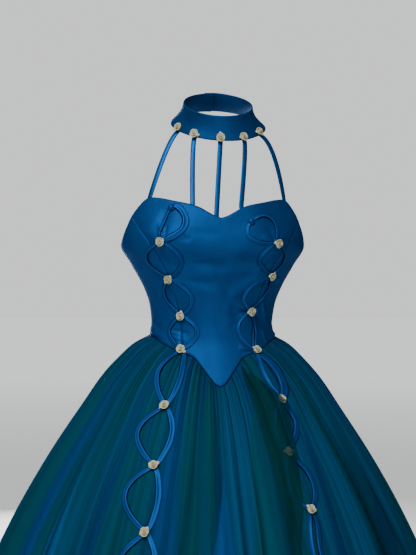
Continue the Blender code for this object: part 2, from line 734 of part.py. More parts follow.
def lattice_path(cloth, loops, hand, knot=None):
    """The two strands' ways down a lattice, as (angle, drop), which cross at every row of loops.

    With knot, the top loop's strands follow its two lists of points, the outer one first.
    """
    strands = ([], [])
    for i, (above, under) in enumerate(zip(loops, loops[1:])):
        for step in range(LOOP_STEPS):
            share = step / LOOP_STEPS
            drop = above.drop + (under.drop - above.drop) * share
            angle = above.angle + (under.angle - above.angle) * share
            reach = cloth.cast(angle, drop)[0]
            swing = math.sin(math.pi * share) ** SWING_POWER if share > 0 else 0.0
            swing *= 1 - SWING_SAG * (share - 0.5)
            outer = (angle + hand * math.degrees(under.outer * swing / reach), drop)
            inner = (angle - hand * math.degrees(under.inner * swing / reach), drop)
            if knot and i == 0:
                outer, inner = (placed_by_hand(points, share) for points in knot)
            strands[0].append(outer if i % 2 == 0 else inner)
            strands[1].append(inner if i % 2 == 0 else outer)
    for strand, away in zip(strands, (1, -1)):
        end = loops[-1]
        strand.append((end.angle, end.drop))
        spread = TAIL_SPREAD * away * (1 if len(loops) % 2 else -1)
        strand.append((end.angle + hand * spread, end.drop + TAIL_LENGTH))
    return strands


def split_both_ways(faces):
    """Triangles of every face, split along both diagonals, and the face that each belongs to."""
    triangles, whose = [], []
    for number, face in enumerate(faces):
        corners = len(face)
        for turn in (0, 1):
            for k in range(1, corners - 1):
                triangles.append((face[turn], face[(turn + k) % corners], face[(turn + k + 1) % corners]))
                whose.append(number)
    return triangles, whose


def touch_tree(vertices, faces):
    return BVHTree.FromPolygons(vertices, split_both_ways(faces)[0])


def clear_of(faces, heights, owners, build, trees):
    """Raises the stations of a piece a little at a time until it is clear of every tree."""
    triangles, whose = split_both_ways(faces)
    for _ in range(CLEAR_TRIES):
        own = BVHTree.FromPolygons(build(heights), triangles)
        hits = {whose[triangle] for tree in trees for triangle, other in own.overlap(tree)}
        if not hits:
            break
        for station in {owner for face in hits for owner in owners(face)}:
            heights[station] += CLEAR_STEP
    return [height + CLEAR_STEP for height in heights]


def make_lattice(cloth, name, loops, hand, satin, cream, parent, knot=None):
    strands = lattice_path(cloth, loops, hand, knot)
    places = [[cloth.point(angle, drop) for angle, drop in strand] for strand in strands]
    count = len(strands[0])
    faces = band_faces(count)
    lower_trees = [cloth.touch]
    tops = {}
    for number, strand in enumerate(strands):
        feet = []
        lifts = []
        for i, (angle, drop) in enumerate(strand):
            along = places[number][min(i + 1, count - 1)] - places[number][max(i - 1, 0)]
            normal = cloth.normal(angle, drop)
            side = along.normalized().cross(normal).normalized()
            width = RIBBON_ON_BODICE if drop < WAIST_DROP else RIBBON_ON_SKIRT
            edges = [cloth.under(places[number][i] + side * (across * width / 2)) for across in (-1, 1)]
            feet.append((edges[0], edges[1], normal))
            apart = (places[0][i] - places[1][i]).length / width
            near = (CROSSING_FAR - apart) / (CROSSING_FAR - CROSSING_NEAR)
            over = max(0.0, min(1.0, near)) if number == 1 else 0.0
            lifts.append(RIBBON_LIFT + (RIBBON_WALL + CROSSING_CLEAR) * over)

        def build(heights, feet=feet):
            vertices = []
            for (one, other, normal), height in zip(feet, heights):
                vertices += [one + normal * height, other + normal * height]
                vertices += [other + normal * (height + RIBBON_WALL), one + normal * (height + RIBBON_WALL)]
            return vertices

        def owners(face):
            station = min(max(face - 1, 0) // 4, count - 2)
            return (station, station + 1)

        vertices = build(clear_of(faces, lifts, owners, build, lower_trees))
        make_object(f"ribbon_{name}_{number + 1}", vertices, faces, satin, parent)
        lower_trees.append(touch_tree(vertices, faces))
        crossings = range(LOOP_STEPS, count, LOOP_STEPS)
        tops = {i: (vertices[4 * i + 2] + vertices[4 * i + 3]) / 2 for i in crossings}
    rose_faces = turned_faces(len(ROSE_PROFILE), ROSE_SIDES)
    for i, top in tops.items():
        normal = cloth.normal(*strands[1][i])

        def rose_points(heights, top=top, normal=normal):
            return turned_points(top + normal * heights[0], normal, ROSE_PROFILE, ROSE_SIDES, ROSE_PETALS)

        height = clear_of(rose_faces, [ROSE_CLEAR], lambda face: (0,), rose_points, lower_trees)[0]
        make_rose(f"rose_{name}_{i // LOOP_STEPS}", top + normal * height, normal, cream, parent)


def make_rose(name, place, normal, cream, parent):
    turned_object(name, place, normal, ROSE_PROFILE, ROSE_SIDES, cream, parent, ROSE_PETALS)


def make_collar_roses(cream, parent):
    for number, angle in enumerate(COLLAR_ROSE_ANGLES):
        height = -COLLAR_HALF_HEIGHT + ROSE_RADIUS * 0.7
        normal = outward(collar_point, angle, height)
        place = collar_point(angle, height, COLLAR_ROSE_CLEAR)
        make_rose(f"rose_collar_{number + 1}", place, normal, cream, parent)


def make_material(name, colour, roughness, metallic=0.0):
    material = bpy.data.materials.new(name)
    material.use_nodes = True
    shader = material.node_tree.nodes["Principled BSDF"]
    shader.inputs["Base Color"].default_value = (*colour, 1.0)
    shader.inputs["Roughness"].default_value = roughness
    shader.inputs["Metallic"].default_value = metallic
    material.diffuse_color = (*colour, 1.0)
    return material


def main():
    for old in list(bpy.data.objects):
        bpy.data.objects.remove(old)
    satin = make_material("blue_satin", (0.004, 0.085, 0.260), 0.35)
    tulle = make_material("teal_tulle", (0.002, 0.060, 0.085), 0.70)
    cream = make_material("cream_ribbon", (0.560, 0.530, 0.360), 0.50)
    gown = bpy.data.objects.new("gown", None)
    bpy.context.collection.objects.link(gown)
    panels = make_bodice(satin, gown)
    halves = make_skirts(tulle, satin, gown)
    collar = make_collar(satin, gown)
    make_straps(collar, panels, satin, gown)
    make_collar_roses(cream, gown)
    cloth = Cloth(panels + halves)
    make_lattice(cloth, "right", LATTICE_RIGHT, -1, satin, cream, gown)
    make_lattice(cloth, "left", LATTICE_LEFT, 1, satin, cream, gown, (KNOT_OUTER, KNOT_INNER))


if __name__ == "__main__":
    main()
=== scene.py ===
import math
import random

import bpy
import numpy as np
from mathutils import Matrix, Vector
from mathutils.bvhtree import BVHTree


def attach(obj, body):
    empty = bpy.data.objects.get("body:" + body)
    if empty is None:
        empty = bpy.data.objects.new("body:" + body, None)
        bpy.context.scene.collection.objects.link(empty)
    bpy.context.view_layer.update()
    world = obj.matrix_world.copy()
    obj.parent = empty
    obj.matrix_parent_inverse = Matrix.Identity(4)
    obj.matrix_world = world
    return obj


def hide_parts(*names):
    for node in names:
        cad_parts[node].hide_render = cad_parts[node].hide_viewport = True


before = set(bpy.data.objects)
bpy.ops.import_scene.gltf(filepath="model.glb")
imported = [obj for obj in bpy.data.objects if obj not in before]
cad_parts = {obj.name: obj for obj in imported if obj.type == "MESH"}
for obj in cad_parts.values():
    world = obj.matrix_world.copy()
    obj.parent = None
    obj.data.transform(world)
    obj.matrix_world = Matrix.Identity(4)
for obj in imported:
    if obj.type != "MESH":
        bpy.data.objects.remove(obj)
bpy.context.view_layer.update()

# Metres, +Z up, the front faces -Y. The origin is the middle of the collar, and every
# height called drop is measured down from it. Angles are degrees round from the centre front,
# and positive ones lie on the gown's own left.

body = "root"


# Smooth curves through small tables of sizes
def smoothCurve(points):
    keys = np.array([p[0] for p in points], float)
    values = np.array([p[1] for p in points], float)
    slopes = np.diff(values) / np.diff(keys)
    tangents = np.empty(len(keys))
    tangents[0] = slopes[0]
    tangents[-1] = slopes[-1]
    for i in range(1, len(keys) - 1):
        before, after = slopes[i - 1], slopes[i]
        tangents[i] = 0.0 if before * after <= 0 else 2 * before * after / (before + after)

    def read(x):
        x = np.clip(np.asarray(x, float), keys[0], keys[-1])
        i = np.clip(np.searchsorted(keys, x, side="right") - 1, 0, len(keys) - 2)
        span = keys[i + 1] - keys[i]
        t = (x - keys[i]) / span
        return (
            (2 * t**3 - 3 * t**2 + 1) * values[i]
            + (t**3 - 2 * t**2 + t) * span * tangents[i]
            + (3 * t**2 - 2 * t**3) * values[i + 1]
            + (t**3 - t**2) * span * tangents[i + 1]
        )

    return read


def smoothStep(low, high, x):
    t = np.clip((np.asarray(x, float) - low) / (high - low), 0, 1)
    return t * t * (3 - 2 * t)


def unit(vectors):
    return vectors / np.maximum(np.linalg.norm(vectors, axis=-1, keepdims=True), 1e-9)


def matched(*values):
    # number arrays of one shape, so that single values and grids can be mixed
    return np.broadcast_arrays(*[np.asarray(value, float) for value in values])


def foldedAngle(angle):
    turned = np.abs(np.asarray(angle, float)) % 360
    return np.minimum(turned, 360 - turned)


def lightNoise(x, y, seed):
    # a soft wandering value from -1 to 1, for anything that is a little uneven
    dice = random.Random(seed)
    total = 0.0
    for wave in range(4):
        turn = dice.uniform(0, 2 * math.pi)
        reach = 1.0 + 0.7 * wave
        phase = dice.uniform(0, 2 * math.pi)
        total = total + np.sin((x * math.cos(turn) + y * math.sin(turn)) * reach + phase) / (1 + 0.5 * wave)
    return total / 2.4


# Each row of the torso: drop, half width, depth in front, depth behind
torso = {
    "setback": 0.012,  # the torso's axis lies behind the neck's
    "sections": [
        (0.140, 0.143, 0.092, 0.084), (0.170, 0.155, 0.103, 0.089), (0.200, 0.166, 0.113, 0.095),
        (0.243, 0.1735, 0.119, 0.100), (0.280, 0.1535, 0.108, 0.096), (0.318, 0.132, 0.096, 0.088),
        (0.355, 0.118, 0.088, 0.082), (0.388, 0.114, 0.085, 0.080), (0.412, 0.118, 0.087, 0.084),
        (0.450, 0.132, 0.099, 0.098), (0.500, 0.153, 0.120, 0.116),
    ],
    "cupHeight": 0.010,
    "cupAngle": 33,
    "cupSpread": 20,
    "cupDrop": 0.232,
    "cupReach": 0.036,
}
halfWidthAt, frontDepthAt, backDepthAt = [
    smoothCurve([(section[0], section[column]) for section in torso["sections"]]) for column in (1, 2, 3)
]

edges = {
    "neckline": [
        (0, 0.197), (4, 0.193), (8, 0.187), (14, 0.178), (21, 0.172), (33, 0.166), (44, 0.161), (54, 0.159),
        (60, 0.162), (66, 0.173), (72.5, 0.193), (78, 0.215), (84, 0.236), (91, 0.246), (105, 0.249),
        (180, 0.250),
    ],
    "drawnIn": 0.0055,
    "drawnInAt": 20.0,
    "drawnInReach": 8.0,
    "waist": [
        (0, 0.500), (3, 0.496), (7, 0.485), (11, 0.474), (16, 0.463), (22, 0.452), (30, 0.443), (42, 0.433),
        (60, 0.422), (78, 0.415), (92, 0.412), (180, 0.412),
    ],
    "frontPrincess": [
        (0.150, 72), (0.192, 71.5), (0.205, 63), (0.220, 54.5), (0.238, 47), (0.260, 43), (0.300, 41),
        (0.345, 39.5), (0.390, 36.5), (0.443, 30),
    ],
    "backPrincess": [(0.240, 148), (0.300, 150), (0.360, 153), (0.412, 155)],
    "sideSeam": 95.0,
    "hem": 1.430,
    "satinHem": 1.424,
}
necklineAt = smoothCurve(edges["neckline"])
waistAt = smoothCurve(edges["waist"])
frontPrincessAt = smoothCurve(edges["frontPrincess"])
backPrincessAt = smoothCurve(edges["backPrincess"])


def neckDrop(angle):
    return necklineAt(foldedAngle(angle))


def seamDrop(angle):
    # the basque's edge is drawn in a little on each side of its point
    away = (foldedAngle(angle) - edges["drawnInAt"]) / edges["drawnInReach"]
    return waistAt(foldedAngle(angle)) - edges["drawnIn"] * np.exp(-(away**2))


def torsoPoint(angle, drop, out=0.0):
    angle, drop, out = matched(angle, drop, out)
    a = np.radians(angle)
    half = halfWidthAt(drop)
    depth = np.where(np.cos(a) >= 0, frontDepthAt(drop), backDepthAt(drop))
    square = unit(np.stack([depth * np.sin(a), -half * np.cos(a), np.zeros_like(a)], -1))
    cup = torso["cupHeight"] * np.exp(
        -(((np.abs(angle) - torso["cupAngle"]) / torso["cupSpread"]) ** 2)
        - ((drop - torso["cupDrop"]) / torso["cupReach"]) ** 2
    )
    place = np.stack([half * np.sin(a), torso["setback"] - depth * np.cos(a), -drop], -1)
    return place + square * (cup + out)[..., None]


def sectionAngle(angle, drop):
    # turns a bearing from the torso's axis into the angle its oval is drawn by
    a = math.radians(angle)
    depth = float(frontDepthAt(drop) if math.cos(a) >= 0 else backDepthAt(drop))
    return math.degrees(math.atan2(depth * math.sin(a), float(halfWidthAt(drop)) * math.cos(a)))


# Meshes from grids of points, rows from the bottom up and columns from -X to +X
def gridFaces(rows, columns, first=0):
    faces = []
    for r in range(rows - 1):
        for c in range(columns - 1):
            corner = first + r * columns + c
            faces.append((corner, corner + 1, corner + columns + 1, corner + columns))
    return faces


def lengthsAlong(points, axis):
    # how far each point lies from the first of its row (axis 1) or column (axis 0)
    steps = np.linalg.norm(np.diff(points, axis=axis), axis=-1)
    start = np.zeros_like(steps.take([0], axis=axis))
    return np.concatenate([start, np.cumsum(steps, axis=axis)], axis=axis)


def clothUv(points):
    # metres across and up the cloth, so that a weave has its real scale
    u = lengthsAlong(points, 1)
    u = u - u[:, points.shape[1] // 2 : points.shape[1] // 2 + 1]
    return np.stack([u, lengthsAlong(points, 0)], -1)


def clothPiece(name, grids, wall, material, folds=None):
    if isinstance(grids, np.ndarray):
        grids = [grids]
    vertices, faces, flats = [], [], []
    for points in grids:
        faces += gridFaces(points.shape[0], points.shape[1], len(vertices))
        vertices += points.reshape(-1, 3).tolist()
        flats.append(clothUv(points).reshape(-1, 2))
    mesh = bpy.data.meshes.new(name)
    mesh.from_pydata(vertices, [], faces)
    corners = np.empty(len(mesh.loops), np.int32)
    mesh.loops.foreach_get("vertex_index", corners)
    maps = [("cloth", np.concatenate(flats))]
    if folds is not None:
        maps.append(("folds", folds.reshape(-1, 2)))
    for label, flat in maps:
        mesh.uv_layers.new(name=label).data.foreach_set("uv", flat[corners].astype(np.float32).ravel())
    mesh.materials.append(material)
    mesh.shade_smooth()
    piece = bpy.data.objects.new(name, mesh)
    bpy.context.scene.collection.objects.link(piece)
    shell = piece.modifiers.new("cloth thickness", "SOLIDIFY")
    shell.thickness = wall
    shell.offset = -1.0
    return piece


def placed(piece, slotName, *nodes):
    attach(piece, body)
    if nodes:
        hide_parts(*nodes)
    return piece


# Shader groups shared by the finishes
def newGroup(name, inputs, outputs):
    # an input of four numbers is a colour, one of three a vector
    group = bpy.data.node_groups.new(name, "ShaderNodeTree")
    for label, value in inputs.items():
        kind = "Float" if isinstance(value, float) else {3: "Vector", 4: "Color"}[len(value)]
        socket = group.interface.new_socket(name=label, in_out="INPUT", socket_type="NodeSocket" + kind)
        socket.default_value = value
    for label in outputs:
        kind = "Color" if label == "Colour" else "Float"
        group.interface.new_socket(name=label, in_out="OUTPUT", socket_type="NodeSocket" + kind)
    given = group.nodes.new("NodeGroupInput").outputs
    result = group.nodes.new("NodeGroupOutput").inputs
    return group, given, result


def mathNode(group, kind, first, second, clamp=False):
    node = group.nodes.new("ShaderNodeMath")
    node.operation = kind
    node.use_clamp = clamp
    for slot, value in zip(node.inputs, (first, second)):
        if isinstance(value, (int, float)):
            slot.default_value = value
        else:
            group.links.new(value, slot)
    return node.outputs[0]


def times(group, first, second):
    return mathNode(group, "MULTIPLY", first, second)


def plus(group, first, second, clamp=False):
    return mathNode(group, "ADD", first, second, clamp)


def mixColours(group, factor, first, second):
    node = group.nodes.new("ShaderNodeMix")
    node.data_type = "RGBA"
    for slot, value in zip((node.inputs[0], node.inputs[6], node.inputs[7]), (factor, first, second)):
        if isinstance(value, (int, float, tuple)):
            slot.default_value = value
        else:
            group.links.new(value, slot)
    return node.outputs[2]


def stretchedNoise(group, coordinate, scale, across, along, detail=3.0, rough=0.5):
    mapping = group.nodes.new("ShaderNodeMapping")
    mapping.inputs["Scale"].default_value = (across, along, 1.0)
    group.links.new(coordinate, mapping.inputs["Vector"])
    noise = group.nodes.new("ShaderNodeTexNoise")
    noise.inputs["Detail"].default_value = detail
    noise.inputs["Roughness"].default_value = rough
    if isinstance(scale, (int, float)):
        noise.inputs["Scale"].default_value = scale
    else:
        group.links.new(scale, noise.inputs["Scale"])
    group.links.new(mapping.outputs[0], noise.inputs["Vector"])
    return noise.outputs["Fac"]


def ramp(group, value, low, high):
    node = group.nodes.new("ShaderNodeMapRange")
    node.interpolation_type = "SMOOTHSTEP"
    group.links.new(value, node.inputs["Value"])
    node.inputs["From Min"].default_value = low
    node.inputs["From Max"].default_value = high
    return node.outputs["Result"]


satinThreads = {
    "length": 0.06,  # scale of the weave along a thread, with 1 across it
    "fade": (0.3, 0.7),
    "shade": 0.18,
    "roughness": 0.12,
    "cloudScale": 14.0,
    "cloudFade": (0.35, 0.75),
}


def buildSatinGroup():
    # long warp threads floating over the weft, with soft cloudy changes of tone
    group, given, result = newGroup(
        "satinCloth",
        {
            "Colour": (0.0, 0.1, 0.3, 1),
            "Deep Colour": (0.0, 0.02, 0.08, 1),
            "Cloud": 0.4,
            "Thread Scale": 900.0,
            "Roughness": 0.35,
        },
        ["Colour", "Roughness", "Height"],
    )
    place = group.nodes.new("ShaderNodeTexCoord").outputs["UV"]
    threads = stretchedNoise(group, place, given["Thread Scale"], 1.0, satinThreads["length"], 2.0)
    clouds = stretchedNoise(group, place, satinThreads["cloudScale"], 1.0, 0.6, 3.0)
    clouds = ramp(group, clouds, *satinThreads["cloudFade"])
    cloudy = mathNode(group, "MULTIPLY", clouds, given["Cloud"], True)
    tone = mixColours(group, cloudy, given["Colour"], given["Deep Colour"])
    lines = times(group, ramp(group, threads, *satinThreads["fade"]), satinThreads["shade"])
    group.links.new(mixColours(group, lines, tone, given["Deep Colour"]), result["Colour"])
    rough = plus(group, given["Roughness"], times(group, threads, satinThreads["roughness"]))
    group.links.new(rough, result["Roughness"])
    group.links.new(threads, result["Height"])
    return group


netBands = {
    # noise values between which a tone fades in
    "green": (0.44, 0.60),
    "blue": (0.50, 0.66),
    "overlap": (0.50, 0.53),
    "streaks": (0.42, 0.62),
    "parted": (0.46, 0.62),
    # how strongly each of them darkens or thins the net
    "overlapShade": 0.22,
    "streakShade": 0.24,
    # painted shadow in the gathers' valleys just under the waist seam, and how far below the seam it fades
    # out
    "paintedGatherShadow": 0.38,
    "gatherReach": 0.15,
    "partedThin": 0.30,
    "overlapThin": -0.10,
    # the colour the overlaps darken towards, also that of the painted shadow in the streaks and gathers
    "overlapAndShadowColour": (0.0, 0.006, 0.010, 1),
    "meshScale": 620.0,
    "holes": (0.02, 0.18),
    "holeDepth": 0.3,
}


def buildNetGroup():
    # several layers of fine net: bands of tone along the gathers, where layers overlap or part, and dark
    # streaks that deepen into painted shadow in the gathers' valleys under the waist
    bands = netBands
    group, given, result = newGroup(
        "gatheredNet",
        {
            "Teal": (0.0, 0.06, 0.08, 1),
            "Green": (0.0, 0.06, 0.05, 1),
            "Blue": (0.0, 0.05, 0.12, 1),
            "Cover": 0.8,
            "Band Scale": 1.0,
        },
        ["Colour", "Alpha", "Height"],
    )
    folds = group.nodes.new("ShaderNodeUVMap")
    folds.uv_map = "folds"
    cloth = group.nodes.new("ShaderNodeUVMap")
    cloth.uv_map = "cloth"
    place, flat = folds.outputs["UV"], cloth.outputs["UV"]
    scale = given["Band Scale"]
    greens = stretchedNoise(group, place, scale, 0.75, 0.8, 2.0)
    blues = stretchedNoise(group, place, scale, 1.15, 0.7, 2.0, 0.55)
    layers = stretchedNoise(group, place, scale, 1.9, 0.45, 1.0)
    streaks = stretchedNoise(group, place, scale, 7.0, 0.8, 3.0, 0.6)
    green = ramp(group, greens, *bands["green"])
    tone = mixColours(group, green, given["Teal"], given["Green"])
    tone = mixColours(group, ramp(group, blues, *bands["blue"]), tone, given["Blue"])
    overlap = ramp(group, layers, *bands["overlap"])
    split = group.nodes.new("ShaderNodeSeparateXYZ")
    group.links.new(place, split.inputs[0])
    # painted shadow in the gathers' valleys, strongest at the waist seam
    high = ramp(group, split.outputs["Y"], bands["gatherReach"], 0.0)
    gathers = times(group, high, bands["paintedGatherShadow"])
    strength = plus(group, gathers, bands["streakShade"])
    streakAndGatherShadow = times(group, ramp(group, streaks, *bands["streaks"]), strength)
    # overlaps darken the net, the streaks darken it too, and near the waist they carry the painted shadow
    # of the gathers
    shade = times(group, overlap, bands["overlapShade"])
    shade = plus(group, shade, streakAndGatherShadow, True)
    group.links.new(mixColours(group, shade, tone, bands["overlapAndShadowColour"]), result["Colour"])
    parted = times(group, ramp(group, blues, *bands["parted"]), bands["partedThin"])
    thin = plus(group, parted, times(group, overlap, bands["overlapThin"]))
    cover = mathNode(group, "SUBTRACT", given["Cover"], thin, True)
    group.links.new(cover, result["Alpha"])
    mesh = group.nodes.new("ShaderNodeTexVoronoi")
    mesh.feature = "DISTANCE_TO_EDGE"
    mesh.inputs["Scale"].default_value = bands["meshScale"]
    group.links.new(flat, mesh.inputs["Vector"])
    holes = ramp(group, mesh.outputs["Distance"], *bands["holes"])
    holes = times(group, holes, bands["holeDepth"])
    group.links.new(mathNode(group, "SUBTRACT", streaks, holes), result["Height"])
    return group


def buildWedgeGroup():
    # one long wedge down the skirt, where a layer of net begins, where the outer ones draw apart, and where
    # a highlight or shade is painted on
    group, given, result = newGroup(
        "netWedge",
        {
            "Place": (0.0, 0.0, 0.0),
            "Turn": 0.0,
            "Top": 0.2,
            "Spread": 1.0,
            "Widest": 0.5,
            "Lean": 0.0,
            "Softness": 0.1,
        },
        ["Mask"],
    )
    split = group.nodes.new("ShaderNodeSeparateXYZ")
    group.links.new(given["Place"], split.inputs[0])
    depth = mathNode(group, "SUBTRACT", split.outputs["Y"], given["Top"])
    spread = times(group, depth, given["Spread"])
    half = mathNode(group, "MINIMUM", spread, given["Widest"])
    lean = times(group, depth, given["Lean"])
    middle = plus(group, given["Turn"], lean)
    away = mathNode(group, "ABSOLUTE", mathNode(group, "SUBTRACT", split.outputs["X"], middle), 0.0)
    inside = mathNode(group, "DIVIDE", mathNode(group, "SUBTRACT", half, away), given["Softness"])
    group.links.new(ramp(group, inside, 0.0, 1.0), result["Mask"])
    return group


paintedEdgeLight = {
    # across the strip, from -1 at its outer edge to 1 at its inner edge
    # where a painted highlight lies along the raised inner edge, and painted shadow beyond it and along the
    # outer edge
    "highlightFrom": (0.22, 0.42),
    "highlightTo": (0.70, 0.56),
    "highlightShare": 0.8,
    "shadowFrom": (0.62, 0.76),
    "outerShadowFrom": (-0.62, -0.86),
    "outerShadowShare": 0.6,
}


def buildEdgeLightGroup():
    # a strip's rolled inner edge: a painted highlight on its ridge with painted shadow beyond it, and
    # painted shadow along the outer edge
    group, given, result = newGroup(
        "ribbonPaintedEdgeLight",
        {
            "Colour": (0.0, 0.1, 0.3, 1),
            "Painted Highlight": (0.02, 0.2, 0.6, 1),
            "Painted Shadow": (0.0, 0.0, 0.05, 1),
        },
        ["Colour"],
    )
    across = group.nodes.new("ShaderNodeUVMap")
    across.uv_map = "folds"
    split = group.nodes.new("ShaderNodeSeparateXYZ")
    group.links.new(across.outputs["UV"], split.inputs[0])
    x = split.outputs["X"]
    # painted highlight along the ridge of the raised inner edge
    light = times(group, ramp(group, x, *paintedEdgeLight["highlightFrom"]), ramp(group, x, *paintedEdgeLight["highlightTo"]))
    light = times(group, light, paintedEdgeLight["highlightShare"])
    # painted shadow along the outer edge, and beyond the ridge
    outer = times(group, ramp(group, x, *paintedEdgeLight["outerShadowFrom"]), paintedEdgeLight["outerShadowShare"])
    paintedEdgeShadow = mathNode(group, "MAXIMUM", ramp(group, x, *paintedEdgeLight["shadowFrom"]), outer)
    tone = mixColours(group, light, given["Colour"], given["Painted Highlight"])
    group.links.new(mixColours(group, paintedEdgeShadow, tone, given["Painted Shadow"]), result["Colour"])
    return group


satinGroup = buildSatinGroup()
netGroup = buildNetGroup()
wedgeGroup = buildWedgeGroup()
edgeLightGroup = buildEdgeLightGroup()

finishes = {
    "bodiceSatin": {
        "colour": (0.0005, 0.072, 0.265, 1), "deep": (0.0005, 0.024, 0.110, 1),
        "cloud": 0.50, "roughness": 0.50, "metal": 0.55,
    },
    "collarSatin": {
        "colour": (0.0005, 0.062, 0.225, 1), "deep": (0.0005, 0.022, 0.090, 1),
        "cloud": 0.50, "roughness": 0.50, "metal": 0.55,
    },
    "strapSatin": {
        "colour": (0.0005, 0.060, 0.220, 1), "deep": (0.0005, 0.026, 0.110, 1),
        "cloud": 0.30, "roughness": 0.36, "metal": 0.55,
    },
    "ribbonSatin": {
        "colour": (0.0005, 0.064, 0.255, 1), "deep": (0.0005, 0.026, 0.120, 1),
        "cloud": 0.30, "roughness": 0.46, "metal": 0.45,
        # light is a painted highlight along the raised edge, and the dark colour painted shadow beside it
        "light": (0.002, 0.110, 0.390, 1), "paintedEdgeShadow": (0.004, 0.004, 0.040, 1),
    },
    "underSatin": {
        "colour": (0.0005, 0.080, 0.300, 1), "deep": (0.0005, 0.040, 0.160, 1),
        "cloud": 0.35, "roughness": 0.40, "metal": 0.40,
    },
    "creamRibbon": {
        "colour": (0.640, 0.620, 0.420, 1), "deep": (0.360, 0.320, 0.170, 1),
        "cloud": 0.40, "roughness": 0.48, "metal": 0.0,
    },
    "tulle": {
        "teal": (0.0005, 0.069, 0.172, 1),
        "green": (0.0005, 0.066, 0.104, 1),
        "blue": (0.0005, 0.064, 0.235, 1),
        "cover": 0.86,
        "layers": [
            # turn in tens of degrees, start below the waist, how fast it widens, how far, lean,
            # softness, tone, change of cover
            (-0.25, 0.150, 2.7, 0.50, -0.6, 0.03, "openBlue", -0.55),
            # a band where the net parts, with a highlight painted on as the sheen tone
            (-5.62, 0.100, 1.9, 0.42, 0.2, 0.25, "sheen", -0.55),
            (-4.30, 0.120, 1.3, 0.50, 0.8, 0.35, "deepBlue", -0.20),
            (5.95, 0.140, 1.4, 0.28, -3.2, 0.08, "openBlue", -0.40),
            (3.60, 0.060, 1.8, 0.22, -2.0, 0.15, "deepBlue", -0.25),
            (1.45, 0.030, 5.0, 0.55, -1.6, 0.06, "seaGreen", 0.06),
            (-0.75, 0.000, 6.0, 0.38, -0.8, 0.20, "seaGreen", 0.04),
            (4.60, -0.020, 6.0, 0.60, 0.6, 0.40, "seaGreen", 0.04),
            (-7.90, -0.020, 6.0, 0.80, 0.2, 0.40, "seaGreen", 0.04),
            (-1.80, 0.120, 1.2, 0.30, 0.3, 0.10, "deepBlue", -0.20),
            (7.90, 0.060, 3.0, 0.60, 0.3, 0.30, "seaGreen", 0.04),
            # painted shade over the front of the gown's left side, which faces away from the key light
            (5.30, 0.060, 4.5, 1.75, 0.0, 0.70, "shade", 0.03),
            (-10.5, 0.240, 1.4, 0.60, -0.3, 0.10, "openBlue", -0.35),
            (10.8, 0.200, 1.4, 0.45, 0.3, 0.20, "deepBlue", -0.30),
            (13.4, 0.050, 4.0, 0.70, 0.4, 0.30, "seaGreen", 0.04),
            (15.5, 0.280, 1.3, 0.50, 0.4, 0.05, "openBlue", -0.40),
            # the same parted net with a painted highlight, on the back
            (18.4, 0.180, 1.8, 0.45, -0.3, 0.25, "sheen", -0.45),
            (20.6, 0.100, 3.0, 0.70, -0.4, 0.30, "seaGreen", 0.04),
            (23.6, 0.300, 1.1, 0.40, 0.2, 0.06, "openBlue", -0.40),
            (26.0, 0.060, 3.0, 0.50, 0.2, 0.30, "deepBlue", -0.20),
        ],
        "tones": {
            # the sheen tone is a painted highlight
            "openBlue": (0.0005, 0.074, 0.230, 1), "sheen": (0.0020, 0.180, 0.440, 1),
            "deepBlue": (0.0005, 0.042, 0.140, 1), "seaGreen": (0.0005, 0.060, 0.074, 1),
            # the shade tone is painted shade
            "shade": (0.0005, 0.026, 0.056, 1),
        },
    },
    "looseTulle": {
        "teal": (0.0005, 0.050, 0.075, 1),
        "green": (0.0005, 0.048, 0.056, 1),
        "blue": (0.0005, 0.046, 0.090, 1),
        "cover": 0.50,
        # thins out towards its hidden edge
        "layers": [(0.9, -1.0, 99.0, 0.90, 0.0, 0.60, "seaGreen", -0.60)],
        "tones": {"seaGreen": (0.0005, 0.048, 0.056, 1)},
    },
}


weaves = {
    "satin": {"specular": 0.35, "sheen": (0.25, 0.60, 1.0, 1), "bump": 0.18, "relief": 0.0004},
    "net": {"specular": 0.10, "sheen": (0.2, 0.8, 1.0, 1), "bump": 0.25, "relief": 0.0006},
    "netRoughness": 0.80,
    "wedgeTone": 0.7,  # how much of its tone each wedge shows, whether a net layer, a painted highlight or painted shade
}


def newMaterial(name, weave, sheen):
    material = bpy.data.materials.new(name)
    material.use_nodes = True
    shader = material.node_tree.nodes["Principled BSDF"]
    shader.inputs["Specular IOR Level"].default_value = weave["specular"]
    shader.inputs["Specular Tint"].default_value = sheen
    return material, material.node_tree, shader


def groupNode(tree, group, values):
    node = tree.nodes.new("ShaderNodeGroup")
    node.node_tree = group
    for label, value in values.items():
        node.inputs[label].default_value = value
    return node


def addBump(tree, height, weave):
    bump = tree.nodes.new("ShaderNodeBump")
    bump.inputs["Strength"].default_value = weave["bump"]
    bump.inputs["Distance"].default_value = weave["relief"]
    tree.links.new(height, bump.inputs["Height"])
    tree.links.new(bump.outputs["Normal"], tree.nodes["Principled BSDF"].inputs["Normal"])


def satinMaterial(name):
    values, weave = finishes[name], weaves["satin"]
    sheen = weave["sheen"] if values["metal"] else (1, 1, 1, 1)
    material, tree, shader = newMaterial(name, weave, sheen)
    shader.inputs["Metallic"].default_value = values["metal"]
    labels = {"Colour": "colour", "Deep Colour": "deep", "Cloud": "cloud", "Roughness": "roughness"}
    cloth = groupNode(tree, satinGroup, {label: values[key] for label, key in labels.items()})
    tree.links.new(cloth.outputs["Colour"], shader.inputs["Base Color"])
    tree.links.new(cloth.outputs["Roughness"], shader.inputs["Roughness"])
    addBump(tree, cloth.outputs["Height"], weave)
    return material


